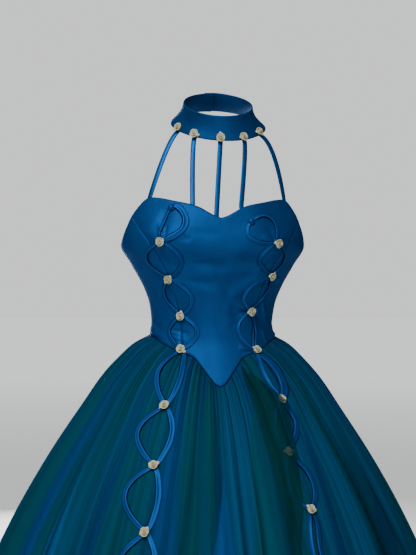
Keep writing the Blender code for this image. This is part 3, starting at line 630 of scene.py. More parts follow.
def addPaintedEdgeLight(material, values):
    tree = material.node_tree
    shader = tree.nodes["Principled BSDF"]
    cloth = shader.inputs["Base Color"].links[0].from_socket
    # a painted highlight and painted shadows along the strip's edges, over its satin colour
    edge = groupNode(tree, edgeLightGroup, {"Painted Highlight": values["light"], "Painted Shadow": values["paintedEdgeShadow"]})
    tree.links.new(cloth, edge.inputs["Colour"])
    tree.links.new(edge.outputs["Colour"], shader.inputs["Base Color"])


def tulleMaterial(name):
    values, weave = finishes[name], weaves["net"]
    material, tree, shader = newMaterial(name, weave, weave["sheen"])
    shader.inputs["Roughness"].default_value = weaves["netRoughness"]
    labels = {"Teal": "teal", "Green": "green", "Blue": "blue", "Cover": "cover"}
    net = groupNode(tree, netGroup, {label: values[key] for label, key in labels.items()})
    folds = tree.nodes.new("ShaderNodeUVMap")
    folds.uv_map = "folds"
    colour, cover = net.outputs["Colour"], net.outputs["Alpha"]
    # each wedge tints the net and changes its cover; the sheen wedges also paint a highlight and the shade
    # wedge paints shade
    for *sizes, tone, change in values["layers"]:
        labels = ("Turn", "Top", "Spread", "Widest", "Lean", "Softness")
        wedge = groupNode(tree, wedgeGroup, dict(zip(labels, sizes)))
        tree.links.new(folds.outputs["UV"], wedge.inputs["Place"])
        mask = wedge.outputs["Mask"]
        tinted = times(tree, mask, weaves["wedgeTone"])
        colour = mixColours(tree, tinted, colour, values["tones"][tone])
        cover = plus(tree, cover, times(tree, mask, change), True)
    tree.links.new(colour, shader.inputs["Base Color"])
    tree.links.new(cover, shader.inputs["Alpha"])
    addBump(tree, net.outputs["Height"], weave)
    return material


bodiceSatin = satinMaterial("bodiceSatin")
collarSatin = satinMaterial("collarSatin")
strapSatin = satinMaterial("strapSatin")
knotSatin = satinMaterial("ribbonSatin")
ribbonSatin = satinMaterial("ribbonSatin")
# painted highlight and painted shadow along the ribbons' edges
addPaintedEdgeLight(ribbonSatin, finishes["ribbonSatin"])
underSatin = satinMaterial("underSatin")
creamRibbon = satinMaterial("creamRibbon")
tulle = tulleMaterial("tulle")
looseTulle = tulleMaterial("looseTulle")
print("finishes made")


# Bodice: seven satin panels over boning, pulled towards the rosebuds
bodice = {
    "wall": 0.0022,
    "seamGap": 0.00006,
    "waistGap": 0.0007,
    "rows": 150,
    "frontColumns": 132,
    "sideColumns": 64,
    "backColumns": 40,
    "seamDip": 0.0011,  # how far the cloth rolls into each seam
    "seamReach": 0.0026,
}


def meetingDrop(angleAt, edge):
    low, high = 0.130, 0.520
    for _ in range(40):
        middle = (low + high) / 2
        if middle < float(edge(angleAt(middle))):
            low = middle
        else:
            high = middle
    return (low + high) / 2


def bodicePanel(name, left, right, density, node):
    rows, columns = bodice["rows"], bodice[density]
    angles = np.empty((rows + 1, columns + 1))
    drops = np.empty((rows + 1, columns + 1))
    for c in range(columns + 1):
        share = c / columns

        def angleAt(drop, share=share):
            inset = math.degrees(bodice["seamGap"] / 2 / float(halfWidthAt(drop)))
            start = left(drop) + inset
            end = right(drop) - inset
            return start + (end - start) * share

        low = meetingDrop(angleAt, seamDrop) - bodice["waistGap"]
        high = meetingDrop(angleAt, neckDrop)
        for r in range(rows + 1):
            drop = low + (high - low) * r / rows
            drops[r, c] = drop
            angles[r, c] = angleAt(drop)
    middle = torsoPoint(angles, drops)
    fromLeft = lengthsAlong(middle, 1)
    fromRight = fromLeft[:, -1:] - fromLeft
    fromLow = lengthsAlong(middle, 0)
    fromTop = fromLow[-1:, :] - fromLow
    nearest = np.minimum(np.minimum(fromLeft, fromRight), np.minimum(fromLow, fromTop * 1.3))
    dip = bodice["seamDip"] * np.exp(-((nearest / bodice["seamReach"]) ** 2))
    points = torsoPoint(angles, drops, bodiceCreases(angles, drops) - dip)
    return placed(clothPiece(name, points, bodice["wall"], bodiceSatin), "blue_satin", node)


# Creases: start angle and drop, end angle and drop, half width, height. Lengths are in
# millimetres, and troughs are below zero.
creases = [
    (-34.4, 240, -40.5, 205, 3, 1.6), (-34.4, 240, -34.5, 209, 2.8, -1.4), (-34.4, 240, -42.7, 234, 3, 1.4),
    (-34.4, 240, -35.9, 277, 2.8, 1.2), (-40.6, 257, -39.9, 298, 2.6, 1.6),
    (-39.7, 307, -49.9, 329, 3.2, 1.8), (-39.7, 307, -40.8, 335, 2.8, 1.6),
    (-39.7, 307, -28.7, 318, 3.6, 1.8), (-34.7, 288, -23.1, 277, 6, -1.6),
    (-34.4, 374, -38.4, 400, 2.8, 0.9), (-34.4, 374, -26.3, 385, 3.2, 1), (-43.9, 400, -25.7, 407, 3, -0.9),
    (-41.5, 414, -27, 419, 3, 0.9), (-31.4, 435, -38.9, 418, 3, 0.9), (-88, 400, -50.4, 415, 4.2, 1.3),
    (-83.5, 411, -56.6, 421, 3.4, -1.4), (-76.6, 387, -61.9, 401, 4, -1.8),
    (32.6, 239, 23.8, 229, 3.4, 1.4), (32.6, 239, 29, 210, 4, -1.2), (32.6, 239, 43, 227, 3.2, 1.4),
    (30.8, 275, 34.4, 253, 3.6, 1.8), (31.6, 290, 36.9, 275, 3.2, -1.6), (42, 299, 28.6, 313, 4, 1.8),
    (42, 299, 38.6, 322, 3.2, -1.4), (42, 299, 62.8, 311, 3.6, 1.6), (30.6, 365, 11.6, 350, 4, 2.2),
    (30.6, 365, 16.2, 370, 3.2, -1.8), (30.6, 365, 42, 385, 3.2, 1.4), (32.7, 437, 17.6, 429, 2.6, 2.2),
    (32.7, 437, 17.9, 438, 2.4, -1.8), (32.7, 437, 19.7, 447, 2.6, 1.8), (32.7, 437, 51.2, 428, 3.4, 1.6),
    (-20, 279, 8, 285, 8.5, -2.6), (-18, 295, 10, 300, 9, 0.9), (-26, 309, -2, 318, 8.5, -2.4),
    (-26, 323, 4, 338, 10, 0.9), (-20, 220, -1, 232, 8.5, -1.7), (-18, 238, -25, 232, 7, -1.8),
    (30, 286, 8, 272, 12, -3.6), (28, 300, 6, 312, 11, -3.4), (24, 326, 8, 338, 8, 2.2),
    (12, 350, 20, 392, 10, -2.6), (-36, 180, -39, 226, 10, -4), (4, 250, 16, 262, 9, 1.6),
    (-6, 356, 6, 392, 12, -1.4), (47.4, 400, 51.2, 428, 3.6, 1.8), (43.5, 345, 55.8, 386, 5, 2),
    (96, 405, 60, 417, 3.8, 2), (84, 388, 66, 399, 4, -1.8), (-130, 398, -105, 408, 3.6, 1.6),
    (128, 401, 108, 409, 3.6, 1.6), (-166, 350, -140, 372, 6, 1.6), (168, 340, 142, 366, 6, 1.6),
    (-172, 392, -150, 403, 3.4, 1.6), (173, 396, 150, 405, 3.4, -1.4), (-100, 300, -88, 330, 6, -1.4),
    (102, 305, 88, 335, 6, -1.4), (-170, 280, -150, 300, 8, -1.4), (166, 285, 148, 310, 8, -1.4),
]
creaseShape = {
    "radius": 0.125,  # turns degrees round the bodice into metres, near enough for a crease
    "broadFrom": 6,  # half width from which a crease is a broad fold
    "smallHeight": 1.35,
    "smallStart": 0.18,  # small creases start short and sharp, broad folds fade at both ends
    "taper": 0.7,
    "startWidth": 0.75,
    "widening": 0.6,
    "unevenness": 0.0005,
}


def bodiceCreases(angles, drops):
    shape = creaseShape
    x = np.radians(angles) * shape["radius"]
    out = shape["unevenness"] * lightNoise(np.radians(angles) * 6, drops * 40, 5)
    for startAngle, startDrop, endAngle, endDrop, half, height in creases:
        ax, bx = math.radians(startAngle) * shape["radius"], math.radians(endAngle) * shape["radius"]
        ay, by = startDrop / 1000, endDrop / 1000
        dx, dy = bx - ax, by - ay
        share = ((x - ax) * dx + (drops - ay) * dy) / (dx * dx + dy * dy)
        near = np.clip(share, 0, 1)
        apart = np.hypot(x - ax - near * dx, drops - ay - near * dy)
        small = half < shape["broadFrom"]
        start = shape["smallStart"] if small else 0.0
        taper = np.sin(math.pi * np.clip(start + (1 - start) * near, 0, 1)) ** shape["taper"]
        wide = half / 1000 * (shape["startWidth"] + shape["widening"] * near)
        rise = height / 1000 * (shape["smallHeight"] if small else 1.0)
        out = out + rise * taper * np.exp(-((apart / wide) ** 2))
    return out


# The seams between the panels, as angles that change with the drop
def mirrored(seam):
    return lambda drop: -seam(drop)


def front(drop):
    return float(frontPrincessAt(drop))


def side(drop):
    return edges["sideSeam"]


def back(drop):
    return float(backPrincessAt(drop))


def centreBack(drop):
    return 180.0


panels = [
    bodicePanel(*row)
    for row in (
        ("bodiceCentreFront", mirrored(front), front, "frontColumns", "bodice_centre_front"),
        ("bodiceSideFrontLeft", front, side, "sideColumns", "bodice_side_front_left"),
        ("bodiceSideFrontRight", mirrored(side), mirrored(front), "sideColumns", "bodice_side_front_right"),
        ("bodiceSideBackLeft", side, back, "sideColumns", "bodice_side_back_left"),
        ("bodiceSideBackRight", mirrored(back), mirrored(side), "sideColumns", "bodice_side_back_right"),
        ("bodiceBackLeft", back, centreBack, "backColumns", "bodice_back_left"),
        ("bodiceBackRight", mirrored(centreBack), mirrored(back), "backColumns", "bodice_back_right"),
    )
]
print("bodice made")


# Skirts: gathered net over six satin gores
skirt = {
    "bell": [
        (0.000, 0.000), (0.016, 0.026), (0.036, 0.047), (0.073, 0.080), (0.129, 0.117), (0.2225, 0.176),
        (0.316, 0.227), (0.391, 0.262), (0.560, 0.329), (0.760, 0.399), (1.020, 0.480),
    ],
    "fullerBehind": 1.05,
    "gathers": [
        (0.000, 0.0000), (0.012, 0.0013), (0.040, 0.0028), (0.120, 0.0048), (0.265, 0.0075),
        (0.500, 0.0110), (1.020, 0.0160),
    ],
    "depth": 1.018,  # the longest stretch from waist seam to hem
    "netWall": 0.0010,
    "satinWall": 0.0010,
    "stepsPerFold": 28,
    "netRows": 96,
    "netCrowding": 1.5,  # the rows stand closer under the waist
    "foldDrift": 0.35,
    "shallowest": 0.6,
    "deepest": 1.25,
    "seamDepth": 0.8,  # the folds' depth at both side seams
    "fineHeight": 0.0026,
    "finePleats": 4,
    "fineReach": 0.11,
    "seamGap": 0.00004,
    "waistRadius": 0.118,  # the torso's half width where it is narrow, near enough for the seam gaps
}
bellAt = smoothCurve(skirt["bell"])
gatherAt = smoothCurve(skirt["gathers"])


def skirtPoint(angle, below, out=0.0):
    angle, below, out = matched(angle, below, out)
    a = np.radians(angle)
    fullness = 1 + (skirt["fullerBehind"] - 1) * (1 - np.cos(a)) / 2
    flare = bellAt(below) * fullness
    away = np.stack([np.sin(a), -np.cos(a), np.zeros_like(a)], -1)
    place = torsoPoint(angle, seamDrop(angle)) + away * (flare + out)[..., None]
    place[..., 2] -= below
    return place


lattices = {
    # each rosebud: bearing, drop, and how far the loop above it swings inward and outward
    "right": [
        (-43.9, 0.171, 0, 0), (-45.2, 0.240, 0.035, 0.012), (-49.1, 0.307, 0.029, 0.038),
        (-42.5, 0.374, 0.028, 0.023), (-39.6, 0.435, 0.027, 0.026), (-31.7, 0.528, 0.018, 0.023),
        (-29.6, 0.622, 0.019, 0.042), (-27.3, 0.722, 0.013, 0.047), (-26.3, 0.835, 0.022, 0.042),
        (-25.3, 0.950, 0.026, 0.040), (-24.5, 1.070, 0.030, 0.036), (-24.0, 1.195, 0.034, 0.034),
        (-23.5, 1.325, 0.036, 0.036),
    ],
    "left": [
        (25.8, 0.204, 0, 0), (43.3, 0.240, 0, 0), (52.6, 0.299, 0.032, 0.026),
        (38.3, 0.365, 0.031, 0.018), (41.2, 0.438, 0.026, 0.012), (32.1, 0.520, 0.012, 0.020),
        (25.4, 0.603, 0.020, 0.025), (26.7, 0.692, 0.016, 0.026), (26.0, 0.800, 0.008, 0.004),
        (25.0, 0.915, 0.028, 0.032), (24.0, 1.035, 0.030, 0.034), (23.0, 1.160, 0.032, 0.036),
        (22.0, 1.290, 0.036, 0.036),
    ],
    # strands that don't swing evenly: side, loop, outer or inner, width, then bearings and drops
    "uneven": {
        ("right", 0, "outer"): (0.9, [
            (-45.4, 0.182), (-46.5, 0.191), (-47.5, 0.204), (-47.4, 0.216), (-47.2, 0.229),
            (-45.4, 0.240),
        ]),
        ("right", 0, "inner"): (1.5, [
            (-43.6, 0.176), (-40.0, 0.176), (-35.0, 0.185), (-31.2, 0.196), (-29.8, 0.207),
            (-31.0, 0.218), (-34.6, 0.227), (-39.2, 0.234), (-45.0, 0.240),
        ]),
        ("left", 0, "outer"): (1.1, [
            (26.0, 0.205), (26.8, 0.200), (31.3, 0.194), (37.8, 0.190), (43.3, 0.194), (45.9, 0.204),
            (45.2, 0.219), (43.6, 0.231), (43.3, 0.240),
        ]),
        ("left", 0, "inner"): (0.9, [
            (25.6, 0.203), (23.2, 0.209), (21.1, 0.219), (21.2, 0.228), (24.5, 0.235), (29.5, 0.240),
            (35.5, 0.242), (43.3, 0.240),
        ]),
        ("left", 4, "outer"): (1.8, [
            (41.2, 0.438), (42.0, 0.447), (43.0, 0.461), (42.4, 0.476), (40.3, 0.493), (37.3, 0.508),
            (32.1, 0.520),
        ]),
        ("left", 4, "inner"): (0.85, [
            (41.2, 0.438), (37.0, 0.450), (33.2, 0.462), (31.2, 0.475), (31.0, 0.486), (31.6, 0.497),
            (32.6, 0.509), (32.1, 0.520),
        ]),
        ("left", 5, "outer"): (1.15, [
            (32.1, 0.520), (34.2, 0.530), (35.8, 0.542), (36.0, 0.556), (34.2, 0.570), (30.6, 0.585),
            (27.2, 0.596), (25.4, 0.603),
        ]),
        ("left", 6, "outer"): (1.05, [
            (25.4, 0.603), (28.0, 0.615), (30.3, 0.627), (31.4, 0.639), (31.6, 0.652), (31.0, 0.668),
            (29.6, 0.681), (26.7, 0.692),
        ]),
        ("left", 6, "inner"): (0.9, [
            (25.4, 0.603), (23.2, 0.618), (22.0, 0.636), (21.4, 0.656), (21.6, 0.672), (23.9, 0.682),
            (26.7, 0.692),
        ]),
        ("left", 7, "outer"): (1.0, [
            (26.7, 0.692), (27.8, 0.706), (27.0, 0.726), (25.9, 0.745), (25.6, 0.765), (25.7, 0.785),
            (26.0, 0.800),
        ]),
        ("left", 7, "inner"): (1.0, [
            (26.7, 0.692), (25.0, 0.708), (24.0, 0.726), (23.3, 0.745), (23.2, 0.765), (24.2, 0.785),
            (26.0, 0.800),
        ]),
    },
    "calmShare": 0.95,
    "calmWidth": 0.062,
}


def calm(places):
    # the lattices hold the net flat beside them
    bearing = np.degrees(np.arctan2(places[..., 0], torso["setback"] - places[..., 1]))
    radius = np.hypot(places[..., 0], places[..., 1])
    rest = np.ones(bearing.shape)
    for hand in ("right", "left"):
        loops = lattices[hand]
        middle = np.interp(-places[..., 2], [loop[1] for loop in loops], [loop[0] for loop in loops])
        away = np.radians(bearing - middle) * radius
        rest = np.minimum(rest, 1 - lattices["calmShare"] * np.exp(-((away / lattices["calmWidth"]) ** 4)))
    return rest


def seamInset(below):
    return np.degrees(skirt["seamGap"] / 2 / (skirt["waistRadius"] + bellAt(below)))


def netHalf(name, zones, seed, node):
    # every fold starts evenly in the waist seam, wanders a little and opens on its way down
    dice = random.Random(seed)
    steps = skirt["stepsPerFold"]
    turns, drifts, heights, shares = [], [], [], []
    for start, end, folds in zones:
        for fold in range(folds):
            height = dice.uniform(skirt["shallowest"], skirt["deepest"])
            drift = dice.uniform(-skirt["foldDrift"], skirt["foldDrift"])
            for step in range(steps):
                turns.append(start + (end - start) * (fold + step / steps) / folds)
                drifts.append(drift * (end - start) / folds)
                heights.append(height)
                shares.append(step / steps)
    turns.append(zones[-1][1])
    drifts.append(0.0)
    heights.append(skirt["seamDepth"])
    shares.append(0.0)
    turns, shares = np.array(turns), np.array(shares)
    fromSeam = np.minimum(np.arange(len(turns)), np.arange(len(turns))[::-1])
    inner = np.clip(fromSeam / steps, 0, 1)  # both halves meet alike at the side seams
    drifts = smoothAlong(np.array(drifts), steps) * inner
    heights = skirt["seamDepth"] + (smoothAlong(np.array(heights), steps) - skirt["seamDepth"]) * inner
    down = np.linspace(1, 0, skirt["netRows"])[:, None] ** skirt["netCrowding"]
    fullBelow = down * skirt["depth"]
    inset = seamInset(fullBelow)
    turn = turns[None, :] + drifts[None, :] * np.minimum(1.0, 3 * down)
    turn = np.clip(turn, turns[0] + inset, turns[-1] - inset)
    below = down * (edges["hem"] - seamDrop(turn))
    broad = np.cos(2 * math.pi * shares)[None, :] * heights[None, :]
    fine = np.cos(2 * math.pi * skirt["finePleats"] * shares + 5 * heights)[None, :]
    uneven = 0.65 + 0.35 * lightNoise(np.radians(turn) * 14, 0 * turn, seed)
    fineHeight = smoothStep(0.0, 0.02, fullBelow) * np.exp(-fullBelow / skirt["fineReach"])
    fineHeight = fineHeight * skirt["fineHeight"]
    rest = calm(skirtPoint(turn, below))
    out = gatherAt(below) * broad * rest + fine * fineHeight * uneven * (0.30 + 0.70 * rest)
    folds = np.stack([turn / 10 + 0 * below, fullBelow + 0 * turn], -1)
    piece = clothPiece(name, skirtPoint(turn, below, out), skirt["netWall"], tulle, folds)
    return placed(piece, "teal_tulle", node)


def smoothAlong(values, steps):
    # a running mean over one fold's steps
    kernel = np.hanning(steps + 2)[1:-1]
    kernel = kernel / kernel.sum()
    padded = np.concatenate([np.full(steps, values[0]), values, np.full(steps, values[-1])])
    return np.convolve(padded, kernel, mode="same")[steps:-steps]


# each zone: first angle, last angle, folds
frontZones = [(-90.0, -30.0, 5), (-30.0, 30.0, 8), (30.0, 90.0, 5)]
netFront = netHalf("tulleSkirtFront", frontZones, 11, "tulle_skirt_front")
netBack = netHalf("tulleSkirtBack", [(90.0, 270.0, 16)], 23, "tulle_skirt_back")
print("net made")


gore = {
    "columns": 48,
    "rows": 60,
    "crowding": 1.4,
    "sway": 0.010,  # depth of the slow waves at the hem
    "room": 0.0014,  # between net and satin, square to the cloth
    "moreRoom": 0.0008,
    "steepest": 1.8,
    "slopeStep": 0.004,
}


def satinGore(number):
    start, end = 60.0 * (number - 1) - 30, 60.0 * (number - 1) + 30
    shares = np.linspace(0, 1, gore["columns"] + 1)[None, :]
    down = np.linspace(1, 0, gore["rows"])[:, None] ** gore["crowding"]
    inset = seamInset(down * skirt["depth"])
    turn = np.clip(start + (end - start) * shares, start + inset, end - inset)
    below = down * (edges["satinHem"] - seamDrop(turn))
    step = gore["slopeStep"]
    slope = (bellAt(below + step) - bellAt(np.maximum(below - step, 0))) / (2 * step)
    clear = gore["room"] * np.sqrt(1 + np.minimum(slope, gore["steepest"]) ** 2) + gore["moreRoom"]
    sway = gore["sway"] * down * (np.cos(4 * math.pi * shares) - 1) / 2
    places = skirtPoint(turn, below, sway - clear - gatherAt(below) * skirt["deepest"])
    piece = clothPiece(f"underskirtGore{number}", places, skirt["satinWall"], underSatin)
    return placed(piece, "blue_satin", f"underskirt_gore_{number}")


gores = [satinGore(number) for number in range(1, 7)]
print("underskirt made")


# Collar: a stiff satin band, close at the top and standing away below
collar = {
    "tilt": math.radians(27),
    "halfHeight": 0.021,
    "topRadius": 0.0655,
    "bottom": [(0, 0.081), (50, 0.085), (90, 0.0905), (180, 0.084)],
    "flare": 2.0,  # how late the band begins to stand away
    "lean": 0.0035,  # the lower edge stands away further on the wearer's left
    "middle": (0.005, 0.0, 0.0),
    "wall": 0.0022,
    "lap": 0.018,
    "lapRoom": 0.0009,
    "rim": 0.0008,  # how far the cloth is pressed in along both edges
    "rimReach": 0.003,
    "rows": 20,
    "columns": 180,
}
collarBottomAt = smoothCurve(collar["bottom"])
collarTurn = np.array(Matrix.Rotation(collar["tilt"], 3, "X"))


def collarPoint(angle, height, out=0.0):
    angle, height, out = matched(angle, height, out)
    a = np.radians(angle)
    share = np.clip((height + collar["halfHeight"]) / (2 * collar["halfHeight"]), 0, 1)
    bottom = collarBottomAt(foldedAngle(angle))
    bottom = bottom + collar["lean"] * np.sin(a)
    radius = collar["topRadius"] + (bottom - collar["topRadius"]) * (1 - share) ** collar["flare"] + out
    flat = np.stack([radius * np.sin(a), -radius * np.cos(a), height], -1)
    return flat @ collarTurn.T + np.array(collar["middle"])


def makeCollar():
    lap = math.degrees(collar["lap"] / collar["topRadius"])
    heights = np.linspace(-collar["halfHeight"], collar["halfHeight"], collar["rows"])[:, None]
    angles = np.linspace(-180, 180 + lap, collar["columns"])[None, :]
    past = np.clip((angles - (180 - 2 * lap)) / (2 * lap), 0, 1)
    lift = (collar["wall"] + collar["lapRoom"]) * past * past * (3 - 2 * past)
    fromRim = np.minimum(np.abs(heights - collar["halfHeight"]), np.abs(heights + collar["halfHeight"]))
    pressed = collar["rim"] * (1 - np.exp(-fromRim / collar["rimReach"])) - collar["rim"]
    places = collarPoint(angles, heights, lift + pressed)
    piece = clothPiece("collarBand", places, collar["wall"] * 0.8, collarSatin)
    return placed(piece, "blue_satin", "collar")


collarPiece = makeCollar()
print("collar made")


# Straps: flat satin tubes sewn inside the collar and inside the neckline
straps = {
    "width": 0.0092,
    "wall": 0.0018,
    "held": 0.012,  # sewn in at each end
    "pastEdge": 0.0028,
    "bowAt": 0.315,
    "facing": 1.3,  # how far a strap turns to the front between its ends
    "clear": 0.0012,
    "steps": 28,
    "rows": [
        # name, node, angle at the collar, angle at the neckline, how far it bows out
        ("strapOuterRight", "strap_outer_right", -69, -57.5, 0.0056),
        ("strapInnerRight", "strap_inner_right", -38, -19.2, 0.002),
        ("strapCentre", "strap_centre", -1.6, -3.0, 0.0),
        ("strapInnerLeft", "strap_inner_left", 32, 14.2, 0.002),
        ("strapOuterLeft", "strap_outer_left", 65, 60, 0.0105),
    ],
}


def outward(surface, angle, height):
    across = surface(angle + 2, height) - surface(angle - 2, height)
    along = surface(angle, height + 0.003) - surface(angle, height - 0.003)
    normal = unit(np.cross(across, along))
    middle = surface(angle, height)
    return -normal if normal[0] * middle[0] + normal[1] * middle[1] < 0 else normal


def strapPiece(name, node, collarAngle, bodiceAngle, belly):
    low = -collar["halfHeight"]
    inside = -(collar["wall"] + straps["clear"])
    top = collarPoint(collarAngle, low + straps["held"], inside)
    edge = collarPoint(collarAngle, low - straps["pastEdge"], inside)
    drop = float(neckDrop(bodiceAngle))
    inside = -(bodice["wall"] + bodice["seamDip"] + straps["clear"])
    neckline = torsoPoint(bodiceAngle, drop - straps["pastEdge"], inside)
    end = torsoPoint(bodiceAngle, drop + straps["held"], inside)
    bow = edge + (neckline - edge) * straps["bowAt"] + np.array([math.copysign(belly, edge[0]), 0, 0])
    control = bow * 2 - (edge + neckline) / 2
    t = np.linspace(0, 1, straps["steps"])[:, None]
    curve = edge * (1 - t) ** 2 + control * (2 * t * (1 - t)) + neckline * t**2
    sewn = (neckline + end)[None] / 2
    centres = np.concatenate([top[None], (top + edge)[None] / 2, curve, sewn, end[None]])
    first = outward(collarPoint, collarAngle, low + straps["held"])
    last = outward(torsoPoint, bodiceAngle, drop + straps["held"])
    share = np.linspace(0, 1, len(centres))[:, None]
    normals = first * (1 - share) + last * share
    normals[:, 1] -= straps["facing"] * np.sin(math.pi * share[:, 0])
    normals = unit(normals)
    along = unit(np.gradient(centres, axis=0))
    sides = unit(np.cross(along, normals))
    normals = np.cross(sides, along)
    across = np.linspace(-1, 1, 7)
    crown = straps["wall"] * 0.4 * (1 - across**2)
    grid = (
        centres[:, None, :]
        + sides[:, None, :] * (across * straps["width"] / 2)[None, :, None]
        + normals[:, None, :] * crown[None, :, None]
    )
    return placed(clothPiece(name, facing(grid, normals), straps["wall"], strapSatin), "blue_satin", node)


def facing(grid, normals):
    # turns a grid over if its faces would look inward
    middle = len(grid) // 2
    look = np.cross(grid[middle, -1] - grid[middle, 0], grid[middle + 1, 0] - grid[middle, 0])
    return grid if float(np.dot(look, normals[middle])) > 0 else grid[:, ::-1]


strapPieces = [strapPiece(*row) for row in straps["rows"]]
print("straps made")


# The panels and the front net as one surface, to lay the trimming on by rays from outside
touch = {
    "aside": 0.5,  # how far the extra rays stand off, in degrees to the sides and metres up and down
    "lower": 0.0015,
    "from": 2.0,
    "nearest": 0.02,
    "belowNeckline": 0.004,
    "step": 0.006,
}


def wholeSurface(pieces):
    vertices, faces = [], []
    for piece in pieces:
        first = len(vertices)
        vertices += [v.co.copy() for v in piece.data.vertices]
        faces += [[first + i for i in face.vertices] for face in piece.data.polygons]
    return BVHTree.FromPolygons(vertices, faces)


surface = wholeSurface(panels + [netFront])


def clothReach(bearing, drop):
    # the furthest of a few close rays, because one alone may slip through a seam
    furthest = 0.0
    turn, dip = touch["aside"], touch["lower"]
    for aside, lower in ((0, 0), (turn, 0), (-turn, 0), (0, dip), (0, -dip)):
        a = math.radians(bearing + aside)
        away = Vector((math.sin(a), -math.cos(a), 0))
        axis = Vector((0, torso["setback"], -(drop + lower)))
        hit = surface.ray_cast(axis + away * touch["from"], -away)[0]
        if hit is not None and (hit - axis).dot(away) > touch["nearest"]:
            reach = (hit - axis).length
            if aside == 0 and lower == 0:
                return reach
            furthest = max(furthest, reach)
    return furthest


def clothPlace(bearing, drop):
    a = math.radians(bearing)
    reach = clothReach(bearing, drop)
    if abs(drop - float(seamDrop(sectionAngle(bearing, drop)))) < touch["lower"]:
        reach = max(reach, clothReach(bearing, drop - touch["lower"]))
    return np.array([math.sin(a) * reach, torso["setback"] - math.cos(a) * reach, -drop])


def clothUnder(place):
    bearing = math.degrees(math.atan2(place[0], torso["setback"] - place[1]))
    highest = float(neckDrop(sectionAngle(bearing, -place[2]))) + touch["belowNeckline"]
    return clothPlace(bearing, max(-place[2], highest))


def clothNormal(bearing, drop):
    step = touch["step"]
    turn = math.degrees(step / clothReach(bearing, drop))
    higher = max(drop - step, float(neckDrop(sectionAngle(bearing, drop))) + touch["belowNeckline"])
    across = clothPlace(bearing + turn, drop) - clothPlace(bearing - turn, drop)
    down = clothPlace(bearing, drop + step) - clothPlace(bearing, higher)
    return unit(np.cross(down, across))


# Ribbons: two in each lattice, crossing under every rosebud
ribbons = {
    "widthOnBodice": 0.0086,
    "widthOnSkirt": 0.0112,
    "widens": (0.40, 0.47),  # the drops between which it does
    "gathered": 0.72,  # how narrow a ribbon is drawn under a rosebud
    "gatheredReach": 0.10,
    "wall": 0.0006,
    "lift": 0.0010,
    "crossingLift": 0.0014,
    "reach": 0.15,  # distance from the gown's axis, near enough for the length of a strand
    "crown": 0.0004,
    "knotLength": 0.013,
    "knotWidth": 0.0075,
    "raisedEdge": 0.0030,  # a ribbon laid in a curve stands up along its inner edge
    "raisedAt": 0.50,  # where across its half width, and over how much of it
    "raisedWidth": 0.36,
    "waver": 0.07,
    "stepsPerLoop": 20,
    "tail": 0.045,
    "tailSpread": 2.0,
}


def unevenPath(points, share):
    # the place at a share of the way along a strand listed point by point
    steps = [0.0]
    for (b0, d0), (b1, d1) in zip(points, points[1:]):
        steps.append(steps[-1] + math.hypot(math.radians(b1 - b0) * ribbons["reach"], d1 - d0))
    where = share * steps[-1]
    return tuple(float(np.interp(where, steps, column)) for column in zip(*points))


def strandPaths(side, hand):
    loops = lattices[side]
    strands = ([], [])
    steps = ribbons["stepsPerLoop"]
    for i, (above, under) in enumerate(zip(loops, loops[1:])):
        for step in range(steps):
            share = step / steps
            drop = above[1] + (under[1] - above[1]) * share
            bearing = above[0] + (under[0] - above[0]) * share
            reach = clothReach(bearing, drop)
            swing = math.sin(math.pi * share) ** 0.85 * (1 - 0.25 * (share - 0.5)) if share > 0 else 0.0
            pair = []
            for edge, away, wide in (("outer", hand, under[3]), ("inner", -hand, under[2])):
                place = (bearing + away * math.degrees(wide * swing / reach), drop)
                width = 1.0
                if (side, i, edge) in lattices["uneven"]:
                    width, points = lattices["uneven"][side, i, edge]
                    place = unevenPath(points, share)
                pair.append((*place, share, width))
            strands[0].append(pair[i % 2])
            strands[1].append(pair[1 - i % 2])
    end = loops[-1]
    for strand, away in zip(strands, (1, -1)):
        for step in range(5):
            share = step / 4
            spread = ribbons["tailSpread"] * away * hand * (1 if len(loops) % 2 else -1)
            strand.append((end[0] + spread * share, end[1] + ribbons["tail"] * share, min(share, 0.5), 1.0))
    return strands


